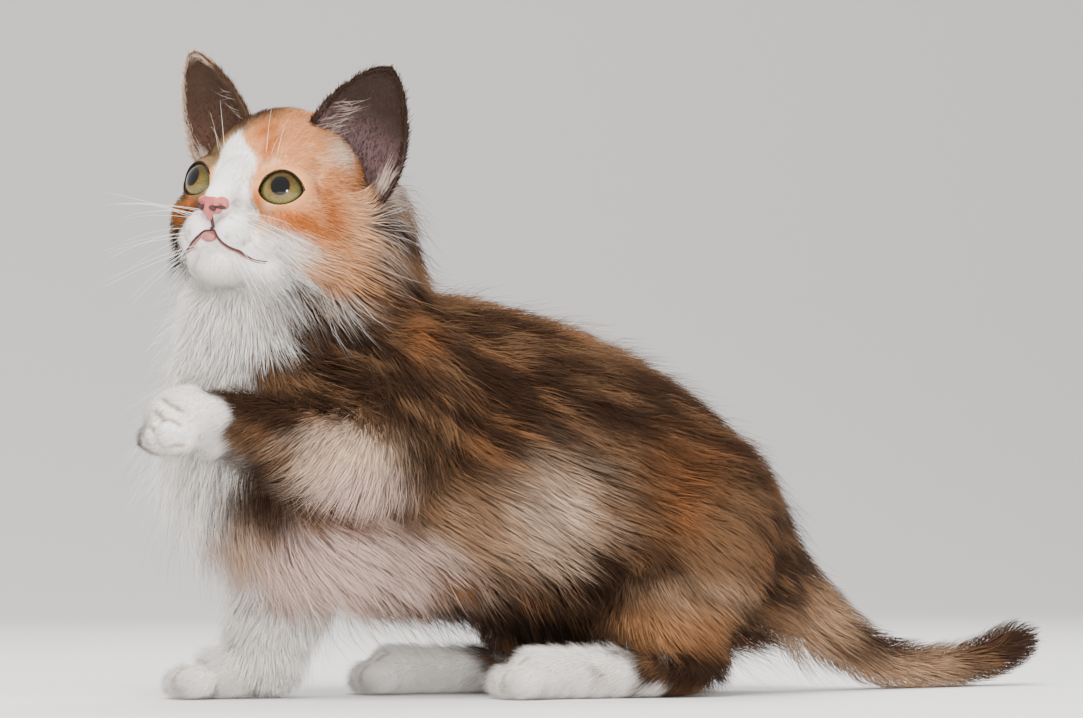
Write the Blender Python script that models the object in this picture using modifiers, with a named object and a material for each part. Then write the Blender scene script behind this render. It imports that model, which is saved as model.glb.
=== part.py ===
"""A munchkin kitten, life size, standing on three short legs with its left forepaw raised.

The kitten faces -X and its left side is -Y. Lengths in the tables are millimetres.
The flesh is a set of overlapping balls and runs of balls, each with the depth of the coat over it.
They are blended into one smooth body, which thin cuts then part into head, neck, torso, legs and tail.
"""

import math
import random

import bmesh
import bpy
from mathutils import Matrix, Vector
from mathutils.bvhtree import BVHTree

MM = 0.001
GAP = 0.3  # between pieces that touch
COAT_SHARE = 0.5  # how much of the coat's depth the smooth body takes in, under the locks

# Head: where it sits and how it turns, then sizes in its own frame (forward, left, up)
HEAD_PLACE = (-104.0, -12.0, 172.0)
HEAD_YAW = 42.0  # to the kitten's left
HEAD_PITCH = 6.0  # nose up
HEAD_ROLL = 8.0  # left side down
EYE_PLACE = (15.2, 14.8, 2.0)
EYE_RADIUS = 9.6
EYE_TURN_OUT = 20.0
EYE_SLANT = 8.0
EAR_OPENS = (0.9, 0.42, 0.1)
LID_THICKNESS = 1.1
EYE_OPENING = (8.0, 6.4)  # half width and half height
EAR_BASE = (-4.0, 24.5, 15.0)
EAR_TIP = (5.9, 41.2, 49.7)
EAR_HALF_WIDTH = 16.5
EAR_DEPTH = 10.0
EAR_WALL = 1.6


def ball(centre, radii, coat, turn=0.0):
    """One ball of flesh; turn leans it in the XZ plane, in degrees."""
    return {"centre": Vector(centre), "radii": Vector(radii), "coat": coat, "turn": turn}


def spline(points, steps):
    """Points on a smooth curve through rows of numbers, with this many steps between two rows."""
    rows = [points[0], *points, points[-1]]
    for i in range(1, len(rows) - 2):
        for step in range(steps):
            t = step / steps
            yield [
                0.5 * (2 * b + (c - a) * t + (2 * a - 5 * b + 4 * c - d) * t**2
                       + (3 * b - a - 3 * c + d) * t**3)
                for a, b, c, d in zip(rows[i - 1], rows[i], rows[i + 1], rows[i + 2])
            ]
    yield list(points[-1])


def run(points, steps=4):
    """Round balls along a limb; each row is x, y, z, radius, coat."""
    return [ball(p[:3], (p[3],) * 3, p[4]) for p in spline(points, steps)]


def barrel(rows, steps=4, reach=12.0):
    """Flat balls along the torso; each row is x, y, top, bottom, half width, coat."""
    balls = []
    for x, y, top, bottom, half, coat in spline(rows, steps):
        height = (top - bottom) / 2
        balls.append(ball((x, y, (top + bottom) / 2), (min(reach, height), half, height), coat))
    return balls


TORSO = [
    (-119.0, 5.0, 118.0, 68.0, 17.0, 9.0),
    (-108.0, 3.0, 132.0, 54.0, 27.0, 9.0),
    (-90.0, 0.0, 139.0, 44.0, 33.0, 9.0),
    (-62.0, 0.0, 141.0, 40.0, 35.0, 8.0),
    (-30.0, 0.0, 137.0, 38.0, 34.0, 8.0),
    (5.0, 0.0, 128.0, 33.0, 37.0, 8.0),
    (36.0, 0.0, 114.0, 28.0, 36.0, 8.0),
    (60.0, 0.0, 97.0, 25.0, 31.0, 8.0),
    (78.0, 0.0, 75.0, 26.0, 24.0, 8.0),
]
NECK = [
    (-72.0, 3.0, 118.0, 31.0, 8.0),
    (-79.0, 1.0, 140.0, 29.0, 8.0),
    (-85.0, -2.0, 161.0, 29.0, 9.0),
]
THROAT = [
    (-106.0, 0.0, 112.0, 22.0, 8.0),
    (-108.0, -3.0, 130.0, 20.0, 7.0),
    (-108.0, -8.0, 147.0, 18.0, 6.0),
]
TAIL = [
    (78.0, 0.0, 52.0, 14.0, 8.0),
    (98.0, 3.0, 37.0, 9.0, 10.0),
    (118.0, 8.0, 21.5, 6.5, 10.0),
    (142.0, 15.0, 10.5, 5.0, 9.0),
    (170.0, 23.0, 8.0, 4.5, 7.5),
    (193.0, 29.5, 11.3, 4.8, 7.5),
    (207.0, 33.0, 16.3, 4.4, 8.0),
]
ARM_LEFT = [
    (-60.0, -22.0, 110.0, 19.0, 8.0),
    (-64.0, -31.0, 95.0, 15.0, 8.0),
    (-72.0, -36.0, 85.0, 12.0, 7.0),
    (-92.0, -37.0, 87.0, 11.0, 6.0),
    (-112.0, -35.0, 92.0, 10.0, 4.5),
    (-128.0, -32.0, 96.0, 9.0, 2.5),
]
LEG_RIGHT = [
    (-86.0, 20.0, 66.0, 18.0, 7.0),
    (-90.0, 17.0, 46.0, 14.5, 8.0),
    (-97.0, 14.0, 29.0, 11.5, 6.0),
    (-100.0, 12.0, 14.0, 11.0, 3.5),
]
THIGH_LEFT = [
    (56.0, -16.0, 66.0, 24.0, 6.0),
    (48.0, -22.0, 50.0, 24.0, 6.0),
    (34.0, -26.0, 34.0, 17.0, 6.0),
]
SHANK_LEFT = [
    (34.0, -28.0, 32.0, 14.0, 5.0),
    (46.0, -29.0, 22.0, 9.0, 4.0),
    (50.0, -30.0, 14.0, 7.0, 3.0),
]
RIGHT_THIGH_AHEAD = (10.0, 26.0, 30.0)
RIGHT_SHANK_AHEAD = 28.0
THIGH_RIGHT = [(x - ahead, -y, z, r, c)
               for (x, y, z, r, c), ahead in zip(THIGH_LEFT, RIGHT_THIGH_AHEAD)]
SHANK_RIGHT = [(x - RIGHT_SHANK_AHEAD, -y, z, r, c) for x, y, z, r, c in SHANK_LEFT]

HEAD = [
    ball((-6, 0, 7), (28, 28, 27), 3.5),
    ball((7, 0, 9.5), (17, 23, 16.5), 2.5),
    ball((18, 0, -14.5), (14, 13, 11), 2.0),
    ball((23, 0, -26), (9, 8.5, 6.5), 2.5),
    ball((-4, 0, -14), (22, 26, 18), 5.0),
] + [
    ball((f, side * l, u), radii, coat)
    for side in (1, -1)
    for f, l, u, radii, coat in (
        (-12, 18, 17, (8, 7, 8), 3.0),
        (19, 5.5, 0.5, (9, 5, 6), 1.2),
        (5, 17, -9, (17, 14, 15), 6.0),
        (-4, 23, -5, (13, 10, 13), 11.0),
        (-8, 25, -14, (12, 9, 12), 13.0),
        (27.5, 6.0, -15.0, (8.2, 7.4, 7.2), 1.6),
        (20, 11, -17.5, (10, 8, 8), 2.0),
        (12, 9, -23, (14, 10, 8), 4.0),
    )
] + run([(14, 0, 9, 8, 1.2), (24, 0, 4.5, 6.4, 1.2), (31, 0, -1.5, 4.8, 1.0), (34.5, 0, -5.5, 4.2, 0.6)]) + [
    ball((36.4, 0, -7.2), (2.9, 4.8, 3.0), 0.0),
]
MOUTH = [  # down from the nose, then back along the lips; forward, left, up
    (39.0, 0.0, -10.5), (38.0, 0.0, -13.2), (36.6, 0.0, -16.0),
]
LIPS = [
    (36.6, 0.0, -16.0), (35.0, 3.4, -18.8), (32.6, 7.0, -21.2), (28.0, 11.3, -23.0), (21.5, 15.0, -22.8),
]
MOUTH_GROOVE = 0.75
NOSTRIL = (38.6, 2.7, -7.6)
NOSTRIL_RADII = (2.4, 1.5, 0.8)

RAISED_PAW = ((-139, -31, 96.5), 0, 8, 6, 1.15)
RAISED_PALM = ((-128, -32, 91), (8, 7, 7.5), 1.5)
STANDING_PAW = ((-113, 12, 8.2), 0, 15, 2)
HINDFOOT_LEFT = (-12, -31, 8.3)
HINDFOOT_RIGHT = (-45, 29, 8.3)
HINDFOOT_SOLE = [(4, 8.5, 2), (30, 8, 2.5), (56, 7.5, 3)]  # back from the toes, radius, coat

# Thin cuts: a point of the plane and its outward normal, then the cutting box's span and depth
WRIST_LEFT = ((-122, -33.5, 95), (-0.97, 0.18, 0.2))
WRIST_RIGHT = ((-99, 13, 24), (-0.35, -0.1, -1))
NECK_CUT = ((-90, 0, 128), (-0.6, 0, 1), (160, 160), 120.0)
LEG_CUTS = [
    ("foreleg_left", (-95, -24, 92.5), (0, -1, 0), (80, 65), 60.0),
    ("foreleg_right", (-95, 20, 37), (0, 0, -1), (60, 60), 50.0),
    ("thigh_left", (44, -24, 60), (0, -1, -0.4), (72, 130), 80.0),
    ("thigh_right", (24, 24, 60), (0, 1, -0.4), (92, 130), 80.0),
]
TAIL_CUTS = [
    ("tail_base", (88, 1.5, 44), (1, 0.1, -0.25)),
    ("tail_mid", (122, 9, 21), (0.93, 0.3, -0.3)),
    ("tail_tip", (166, 22, 10), (0.95, 0.3, 0)),
]
TAIL_CUT_SPAN = (70, 70)
HEAD_TRIANGLES = 1600
HEAD_CUTTER_TRIANGLES = 600
HEAD_CUTTER_GAP = 1.0
TRUNK_TRIANGLES = 1950
PAW_TRIANGLES = 360
FEWEST_FACES = 40  # a cut that leaves fewer has lost its piece
TOUCHING = 1e-8  # corners closer than this, in metres, are one corner
MEETING = 1e-6  # faces closer than this to a point, in metres, meet there

# Locks: places along their length, then the share of full width and thickness there
LOCK_RINGS = (0.0, 0.36, 0.7, 1.0)
LOCK_WIDTHS = (0.45, 1.0, 0.8, 0.0)
LOCK_HEIGHTS = (0.0, 0.35, 0.7, 1.0)  # share of the rise over the surface
ROOT_DEPTH = 4.0
LOCK_CLEARANCE = 0.45
FLOOR_CLEARANCE = 0.5
LIFTS = ((0.0, 1.0), (1.5, 1.0), (1.0, 0.75), (3.0, 0.8), (5.0, 0.9))  # tries: mm higher, share of length
ZONES = {  # where locks grow: a line through the flesh, rings of roots round it, and the lie
    "back": {
        "line": [(-74, 0, 100), (-30, 0, 88), (20, 0, 74), (84, 0, 48)], "ahead": (0, 0, 1),
        "rings": 8, "angles": (-128, 128), "each": 8, "lie": (1, 0, -0.3),
        "size": (33, 14, 2.6), "rise": 6.5, "nodes": ("torso", "thigh_left", "thigh_right", "tail_base"),
    },
    "belly": {
        "line": [(-84, 0, 75), (-20, 0, 70), (50, 0, 55)], "ahead": (0, 0, -1),
        "rings": 7, "angles": (-50, 50), "each": 3, "lie": (0.6, 0, -1),
        "size": (26, 13, 2.4), "rise": 10.0, "nodes": ("torso", "thigh_left", "thigh_right"),
    },
    "chest": {
        "line": [(-93, -4, 150), (-90, 0, 110), (-84, 0, 60)], "ahead": (-1, 0, 0),
        "rings": 7, "angles": (-105, 105), "each": 6, "lie": (0.1, 0, -1),
        "size": (28, 14, 2.6), "rise": 10.0, "nodes": ("torso", "neck", "foreleg_right"),
    },
    "nape": {
        "line": [(-88, -2, 170), (-76, 0, 128)], "ahead": (1, 0, 0),
        "rings": 3, "angles": (-75, 75), "each": 4, "lie": (0.6, 0, -1),
        "size": (26, 12, 2.6), "rise": 5.5, "nodes": ("neck", "torso"),
    },
    "thigh_left": {
        "line": [(44, -20, 74), (36, -22, 34)], "ahead": (0.3, -1, 0),
        "rings": 3, "angles": (-62, 70), "each": 4, "lie": (0.7, 0, -1),
        "size": (23, 10, 2.4), "rise": 4.5, "nodes": ("thigh_left",),
    },
    "thigh_right": {
        "line": [(26, 20, 74), (10, 22, 34)], "ahead": (0.3, 1, 0),
        "rings": 3, "angles": (-70, 62), "each": 4, "lie": (0.7, 0, -1),
        "size": (23, 10, 2.4), "rise": 4.5, "nodes": ("thigh_right",),
    },
    "elbow": {
        "line": [(-72, -36, 88), (-110, -35, 93)], "ahead": (0, 0, -1),
        "rings": 3, "angles": (-55, 55), "each": 2, "lie": (0.7, 0, -1),
        "size": (20, 10, 2.2), "rise": 6.0, "nodes": ("foreleg_left",),
    },
    "shoulder": {
        "line": [(-58, -26, 112), (-84, -30, 100)], "ahead": (0, -1, 0),
        "rings": 3, "angles": (-50, 60), "each": 3, "lie": (0.55, 0, -1),
        "size": (22, 11, 2.2), "rise": 4.0, "nodes": ("foreleg_left",),
    },
    "tail": {
        "line": [row[:3] for row in TAIL[:-1]],
        "ahead": (0, 0, 1), "rings": 7, "angles": (-140, 140), "each": 4, "lie": None,
        "size": (27, 10, 2.4), "rise": 6.0, "nodes": ("tail_base", "tail_mid", "tail_tip"),
    },
}
CHEEK_LINE = [(0, 0, -4), (-17, 0, -8)]  # in the head's frame, as its angles and lie are
CHEEK_ANGLES = ((36, 104), (-104, -36))
CHEEK_SIZE = (23, 13, 2.4)
CHEEK_RISE = 9.0
SEED = 16

WHITE = (0.80, 0.74, 0.68)
CREAM = (0.62, 0.47, 0.34)
ORANGE = (0.55, 0.30, 0.14)
TORTIE = (0.24, 0.15, 0.09)
TAN = (0.42, 0.29, 0.18)
LOOKS = {  # colour and roughness of each node
    "head": ((0.72, 0.52, 0.38), 0.85),
    "ear_left": ((0.30, 0.20, 0.18), 0.8),
    "ear_right": ((0.26, 0.19, 0.15), 0.8),
    "eye_left": ((0.18, 0.17, 0.07), 0.08),
    "eye_right": ((0.18, 0.18, 0.08), 0.08),
    "neck": (CREAM, 0.9),
    "torso": (TORTIE, 0.9),
    "foreleg_left": (TAN, 0.9),
    "forepaw_left": (WHITE, 0.85),
    "foreleg_right": (CREAM, 0.9),
    "forepaw_right": (WHITE, 0.85),
    "thigh_left": (ORANGE, 0.9),
    "hindfoot_left": (WHITE, 0.85),
    "thigh_right": (TORTIE, 0.9),
    "hindfoot_right": (WHITE, 0.85),
    "tail_base": (TAN, 0.9),
    "tail_mid": (TAN, 0.9),
    "tail_tip": (TORTIE, 0.9),
}


def paw(place, heading, length, toe_drop, scale=1.0):
    """A paw's balls: a pad of flesh with four toes in front, heading in degrees from -X to -Y."""
    ahead = Vector((-math.cos(math.radians(heading)), -math.sin(math.radians(heading)), 0))
    aside = Vector((ahead.y, -ahead.x, 0))
    centre = Vector(place)
    balls = [ball(centre, (11.5 * scale, 10.5 * scale, 8.5 * scale), 1.8)]
    for spread in (-1.5, -0.5, 0.5, 1.5):
        reach = length - 2.2 * (abs(spread) - 0.5)
        toe = centre + ahead * reach + aside * spread * 6.1 * scale + Vector((0, 0, -toe_drop))
        balls.append(ball(toe, (6.2 * scale, 3.9 * scale, 5.0 * scale), 1.5))
    return balls


def head_matrix():
    """Carries the head's own frame (forward, left, up) into the kitten's."""
    yaw, pitch, roll = (math.radians(a) for a in (HEAD_YAW, HEAD_PITCH, HEAD_ROLL))
    facing = Matrix(((-math.cos(yaw), math.sin(yaw), 0), (-math.sin(yaw), -math.cos(yaw), 0), (0, 0, 1)))
    turn = facing @ Matrix.Rotation(-pitch, 3, "Y") @ Matrix.Rotation(-roll, 3, "X")
    return Matrix.Translation(HEAD_PLACE) @ turn.to_4x4()


def flesh(name, balls, voxel, smoothing, triangles, placed=None):
    """Blends balls into one closed mesh of about this many triangles."""
    bm = bmesh.new()
    for b in balls:
        radii = b["radii"] + Vector((1, 1, 1)) * b["coat"] * COAT_SHARE
        where = Matrix.Translation(b["centre"]) @ Matrix.Rotation(math.radians(b["turn"]), 4, "Y")
        where = where @ Matrix.Diagonal((*radii, 1))
        bmesh.ops.create_icosphere(bm, subdivisions=3, radius=1, matrix=where)
    bmesh.ops.transform(bm, matrix=Matrix.Scale(MM, 4) @ (placed or Matrix()), verts=bm.verts)
    obj = new_object(name, bm)
    remesh = obj.modifiers.new("blend", "REMESH")
    remesh.mode = "VOXEL"
    remesh.voxel_size = voxel * MM
    smooth = obj.modifiers.new("smooth", "SMOOTH")
    smooth.factor = 0.5
    smooth.iterations = smoothing
    bake(obj)
    keep_largest(obj)
    thin(obj, triangles)
    return obj


def new_object(name, bm):
    mesh = bpy.data.meshes.new(name)
    bm.to_mesh(mesh)
    bm.free()
    obj = bpy.data.objects.new(name, mesh)
    bpy.context.scene.collection.objects.link(obj)
    return obj


def bake(obj):
    """Applies every modifier."""
    bpy.context.view_layer.update()
    graph = bpy.context.evaluated_depsgraph_get()
    mesh = bpy.data.meshes.new_from_object(obj.evaluated_get(graph))
    obj.modifiers.clear()
    obj.data = mesh


def thin(obj, triangles):
    count = sum(len(p.vertices) - 2 for p in obj.data.polygons)
    if count > triangles:
        decimate = obj.modifiers.new("thin", "DECIMATE")
        decimate.ratio = triangles / count
        bake(obj)


def is_whole(obj):
    """True where obj still has its faces, every edge joins two of them and no corners touch."""
    bm = bmesh.new()
    bm.from_mesh(obj.data)
    bmesh.ops.remove_doubles(bm, verts=bm.verts, dist=TOUCHING)
    whole = len(bm.faces) > FEWEST_FACES and all(len(e.link_faces) == 2 for e in bm.edges)
    whole = whole and all(v.is_manifold for v in bm.verts)
    bm.free()
    return whole


def put_in_order(obj):
    """Numbers corners and faces by their place, as a Boolean may number them anew on each run."""
    bm = bmesh.new()
    bm.from_mesh(obj.data)
    slope = Vector((1, 0.618, 0.272))
    bm.verts.sort(key=lambda v: v.co.dot(slope))
    bm.verts.index_update()
    rings = []
    for face in list(bm.faces):
        ring = list(face.verts)
        first = min(range(len(ring)), key=lambda i: ring[i].index)
        rings.append(ring[first:] + ring[:first])
        bm.faces.remove(face)
    for ring in sorted(rings, key=lambda ring: [v.index for v in ring]):
        if not bm.faces.get(ring):
            bm.faces.new(ring)
    bm.to_mesh(obj.data)
    bm.free()


def boolean(obj, other, operation):
    """Cuts or joins obj by an object or a collection, with the manifold solver where exact fails."""
    before = obj.data
    for solver in ("EXACT", "MANIFOLD"):
        obj.data = before
        cut = obj.modifiers.new(operation.lower(), "BOOLEAN")
        cut.operation = operation
        cut.solver = solver
        if isinstance(other, bpy.types.Collection):
            cut.operand_type = "COLLECTION"
            cut.collection = other
        else:
            cut.object = other
        bake(obj)
        put_in_order(obj)
        if is_whole(obj):
            return


def block(point, normal, span, depth, offset):
    """A box whose near face lies on the plane through point, moved along normal by offset."""
    normal = Vector(normal).normalized()
    bm = bmesh.new()
    turn = normal.to_track_quat("Z", "Y").to_matrix().to_4x4()
    where = Matrix.Translation(Vector(point) + normal * offset) @ turn
    where = where @ Matrix.Diagonal((*span, depth, 1)) @ Matrix.Translation((0, 0, 0.5))
    bmesh.ops.create_cube(bm, size=1, matrix=Matrix.Scale(MM, 4) @ where)
    return new_object("cutter", bm)


def part_off(whole, name, point, normal, span, depth=200.0):
    """Parts what lies beyond a plane, inside a box of this span, from whole, with a thin gap."""
    piece = whole.copy()
    piece.data = whole.data.copy()
    piece.name = name
    bpy.context.scene.collection.objects.link(piece)
    for obj, operation, offset in ((piece, "INTERSECT", GAP / 2), (whole, "DIFFERENCE", -GAP / 2)):
        cutter = block(point, normal, span, depth, offset)
        boolean(obj, cutter, operation)
        bpy.data.objects.remove(cutter)
        keep_largest(obj)
    return piece


def keep_largest(obj):
    """Drops all but the largest closed surface."""
    bm = bmesh.new()
    bm.from_mesh(obj.data)
    left, shells = set(bm.faces), []
    while left:
        shell, edge_of = set(), [left.pop()]
        while edge_of:
            face = edge_of.pop()
            shell.add(face)
            for edge in face.edges:
                for other in edge.link_faces:
                    if other in left:
                        left.discard(other)
                        edge_of.append(other)
        shells.append(shell)
    shells.sort(key=lambda s: sum(f.calc_area() for f in s))
    bmesh.ops.delete(bm, geom=[f for s in shells[:-1] for f in s], context="FACES")
    bm.to_mesh(obj.data)
    bm.free()


def clear_scene():
    for obj in list(bpy.data.objects):
        bpy.data.objects.remove(obj, do_unlink=True)


def grown(obj, by=GAP, triangles=None):
    """A copy of obj whose surface lies a little further out, as a cutter for what it touches."""
    copy = obj.copy()
    copy.data = obj.data.copy()
    bpy.context.scene.collection.objects.link(copy)
    if triangles:
        thin(copy, triangles)
    swell = copy.modifiers.new("swell", "DISPLACE")
    swell.strength = by * MM
    swell.mid_level = 0
    bake(copy)
    return copy


def cut_clear(obj, other, by=GAP, triangles=None):
    """Takes obj back from other by the gap; with a triangle count, other is simplified first."""
    cutter = grown(other, by, triangles)
    boolean(obj, cutter, "DIFFERENCE")
    bpy.data.objects.remove(cutter)
    keep_largest(obj)


def flatten_sole(obj):
    """Cuts obj off flat at the floor."""
    bm = bmesh.new()
    bm.from_mesh(obj.data)
    bmesh.ops.bisect_plane(bm, geom=[*bm.verts, *bm.edges, *bm.faces], dist=1e-7,
                           plane_co=(0, 0, 0), plane_no=(0, 0, -1), clear_outer=True)
    rim = [e for e in bm.edges if e.is_boundary]
    bmesh.ops.holes_fill(bm, edges=rim, sides=0)
    bm.to_mesh(obj.data)
    bm.free()


def eye_matrix(side):
    """Carries an eye's frame (outwards along its sight, across, up) into the kitten's."""
    forward, left, up = EYE_PLACE
    place = Matrix.Translation((forward, side * left, up))
    return head_matrix() @ place @ Matrix.Rotation(math.radians(side * EYE_TURN_OUT), 4, "Z")


def solid_ball(name, where, radii, segments=(14, 8)):
    bm = bmesh.new()
    shape = Matrix.Scale(MM, 4) @ where @ Matrix.Diagonal((*radii, 1))
    bmesh.ops.create_uvsphere(bm, u_segments=segments[0], v_segments=segments[1], radius=1, matrix=shape)
    return new_object(name, bm)


def lid_opening(side):
    """The almond between the lids, as a prism that reaches out from the middle of the eye."""
    bm = bmesh.new()
    bmesh.ops.create_cone(bm, cap_ends=True, segments=20, radius1=1, radius2=1, depth=16)
    half_width, half_height = EYE_OPENING
    for v in bm.verts:
        across, up = v.co.x, v.co.y
        reach = v.co.z + 10
        narrow = abs(up) ** 1.25
        v.co = (reach, half_width * across, math.copysign(half_height * narrow, up))
    slant = Matrix.Rotation(math.radians(side * EYE_SLANT), 4, "X")
    bmesh.ops.transform(bm, matrix=Matrix.Scale(MM, 4) @ eye_matrix(side) @ slant, verts=bm.verts)
    bmesh.ops.recalc_face_normals(bm, faces=bm.faces)
    return new_object("opening", bm)


def surface_of(obj):
    """A search tree of obj's surface."""
    bm = bmesh.new()
    bm.from_mesh(obj.data)
    tree = BVHTree.FromBMesh(bm)
    bm.free()
    return tree


def groove(surface, points, radius):
    """A thin tube that follows points of the head's frame, laid on a surface."""
    to_world = Matrix.Scale(MM, 4) @ head_matrix()
    curve = bpy.data.curves.new("groove", "CURVE")
    curve.dimensions = "3D"
    curve.bevel_depth = radius * MM
    curve.bevel_resolution = 1
    curve.use_fill_caps = True
    line = curve.splines.new("POLY")
    places = [surface.find_nearest(to_world @ Vector(p))[0] for p in spline(points, 3)]
    line.points.add(len(places) - 1)
    for point, place in zip(line.points, places):
        point.co = (*place, 1)
    tube = bpy.data.objects.new("groove", curve)
    bpy.context.scene.collection.objects.link(tube)
    bpy.context.view_layer.update()
    mesh = bpy.data.meshes.new_from_object(tube.evaluated_get(bpy.context.evaluated_depsgraph_get()))
    bpy.data.objects.remove(tube)
    bm = bmesh.new()
    bm.from_mesh(mesh)
    bmesh.ops.remove_doubles(bm, verts=bm.verts, dist=1e-6)
    return new_object("groove", bm)


def open_face(head):
    """Cuts the line of the mouth and the nostrils into the head."""
    whole = surface_of(head)
    mirrored = [(f, -l, u) for f, l, u in LIPS]
    for points in (MOUTH, LIPS, mirrored):
        cutter = groove(whole, points, MOUTH_GROOVE)
        boolean(head, cutter, "DIFFERENCE")
        bpy.data.objects.remove(cutter)
    for side in (1, -1):
        place = (NOSTRIL[0], side * NOSTRIL[1], NOSTRIL[2])
        where = head_matrix() @ Matrix.Translation(place) @ Matrix.Rotation(math.radians(-side * 25), 4, "X")
        cutter = solid_ball("nostril", where, NOSTRIL_RADII, (10, 6))
        boolean(head, cutter, "DIFFERENCE")
        bpy.data.objects.remove(cutter)


def ear(name, side):
    """An ear: a cupped leaf that stands on the head and opens forwards and outwards."""
    base = Vector((EAR_BASE[0], side * EAR_BASE[1], EAR_BASE[2]))
    tip = Vector((EAR_TIP[0], side * EAR_TIP[1], EAR_TIP[2]))
    rise = tip - base
    opens = Vector((EAR_OPENS[0], side * EAR_OPENS[1], EAR_OPENS[2]))
    opens = (opens - opens.project(rise)).normalized()
    across = opens.cross(rise).normalized()
    bm = bmesh.new()
    bmesh.ops.create_grid(bm, x_segments=7, y_segments=7, size=1)
    for v in bm.verts:
        t, s = v.co.x, (v.co.y + 1) / 2
        half = EAR_HALF_WIDTH * max(1 - s ** 2.4, 0.0) ** 0.7 * (0.9 + 0.25 * math.sin(math.pi * s))
        cup = EAR_DEPTH * (1 - 0.75 * s) * (1 - t * t)
        v.co = base + rise * (s * 1.18 - 0.18) + across * (half + 0.8) * t - opens * cup
    obj = new_object(name, bm)
    obj.data.transform(Matrix.Scale(MM, 4) @ head_matrix())
    wall = obj.modifiers.new("wall", "SOLIDIFY")
    wall.thickness = EAR_WALL * MM
    wall.offset = 0
    bake(obj)
    return obj


def lock(frames, size, swell=0.0):
    """A flat tapered lock through frames of centre, across and outwards; swell makes it thicker."""
    half_width, half_thick = size[1] / 2 + swell, size[2] / 2 + swell
    bm = bmesh.new()
    bmesh.ops.create_cone(bm, cap_ends=True, segments=4, radius1=1, radius2=0, depth=1,
                          matrix=Matrix.Translation((0, 0, 0.5)))
    bmesh.ops.remove_doubles(bm, verts=bm.verts, dist=1e-6)
    for t in LOCK_RINGS[1:-1]:
        bmesh.ops.bisect_plane(bm, geom=[*bm.verts, *bm.edges, *bm.faces], plane_co=(0, 0, t),
                               plane_no=(0, 0, 1))
    for v in bm.verts:
        ring = min(range(len(LOCK_RINGS)), key=lambda i: abs(LOCK_RINGS[i] - v.co.z))
        centre, across, outwards = frames[ring]
        spread = max(1 - LOCK_RINGS[ring], 1e-6)
        share = LOCK_WIDTHS[ring] / spread
        v.co = centre + across * v.co.x * share * half_width + outwards * v.co.y * share * half_thick
    bmesh.ops.transform(bm, matrix=Matrix.Scale(MM, 4), verts=bm.verts)
    bmesh.ops.recalc_face_normals(bm, faces=bm.faces)
    return bm


def nearest(body, point):
    """The nearest place on the body and the mean normal of the faces that meet there."""
    place = body.find_nearest(point)[0]
    faces = sorted(body.find_nearest_range(place, MEETING), key=lambda found: found[2])
    return place, sum((normal for _, normal, _, _ in faces), Vector()).normalized()


def lie_along(body, root, lie, length, rise):
    """Frames of a lock that follows the body's surface from its root and lifts off towards its tip."""
    frames = []
    for t, height in zip(LOCK_RINGS, LOCK_HEIGHTS):
        place, normal = nearest(body, (root + lie * length * t) * MM)
        along = (lie - lie.project(normal)).normalized()
        over = -ROOT_DEPTH if t == 0 else rise * height
        centre = place / MM + normal * over
        centre.z = max(centre.z, FLOOR_CLEARANCE + 2.0)
        frames.append((centre, along.cross(normal).normalized(), normal))
    return frames


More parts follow.
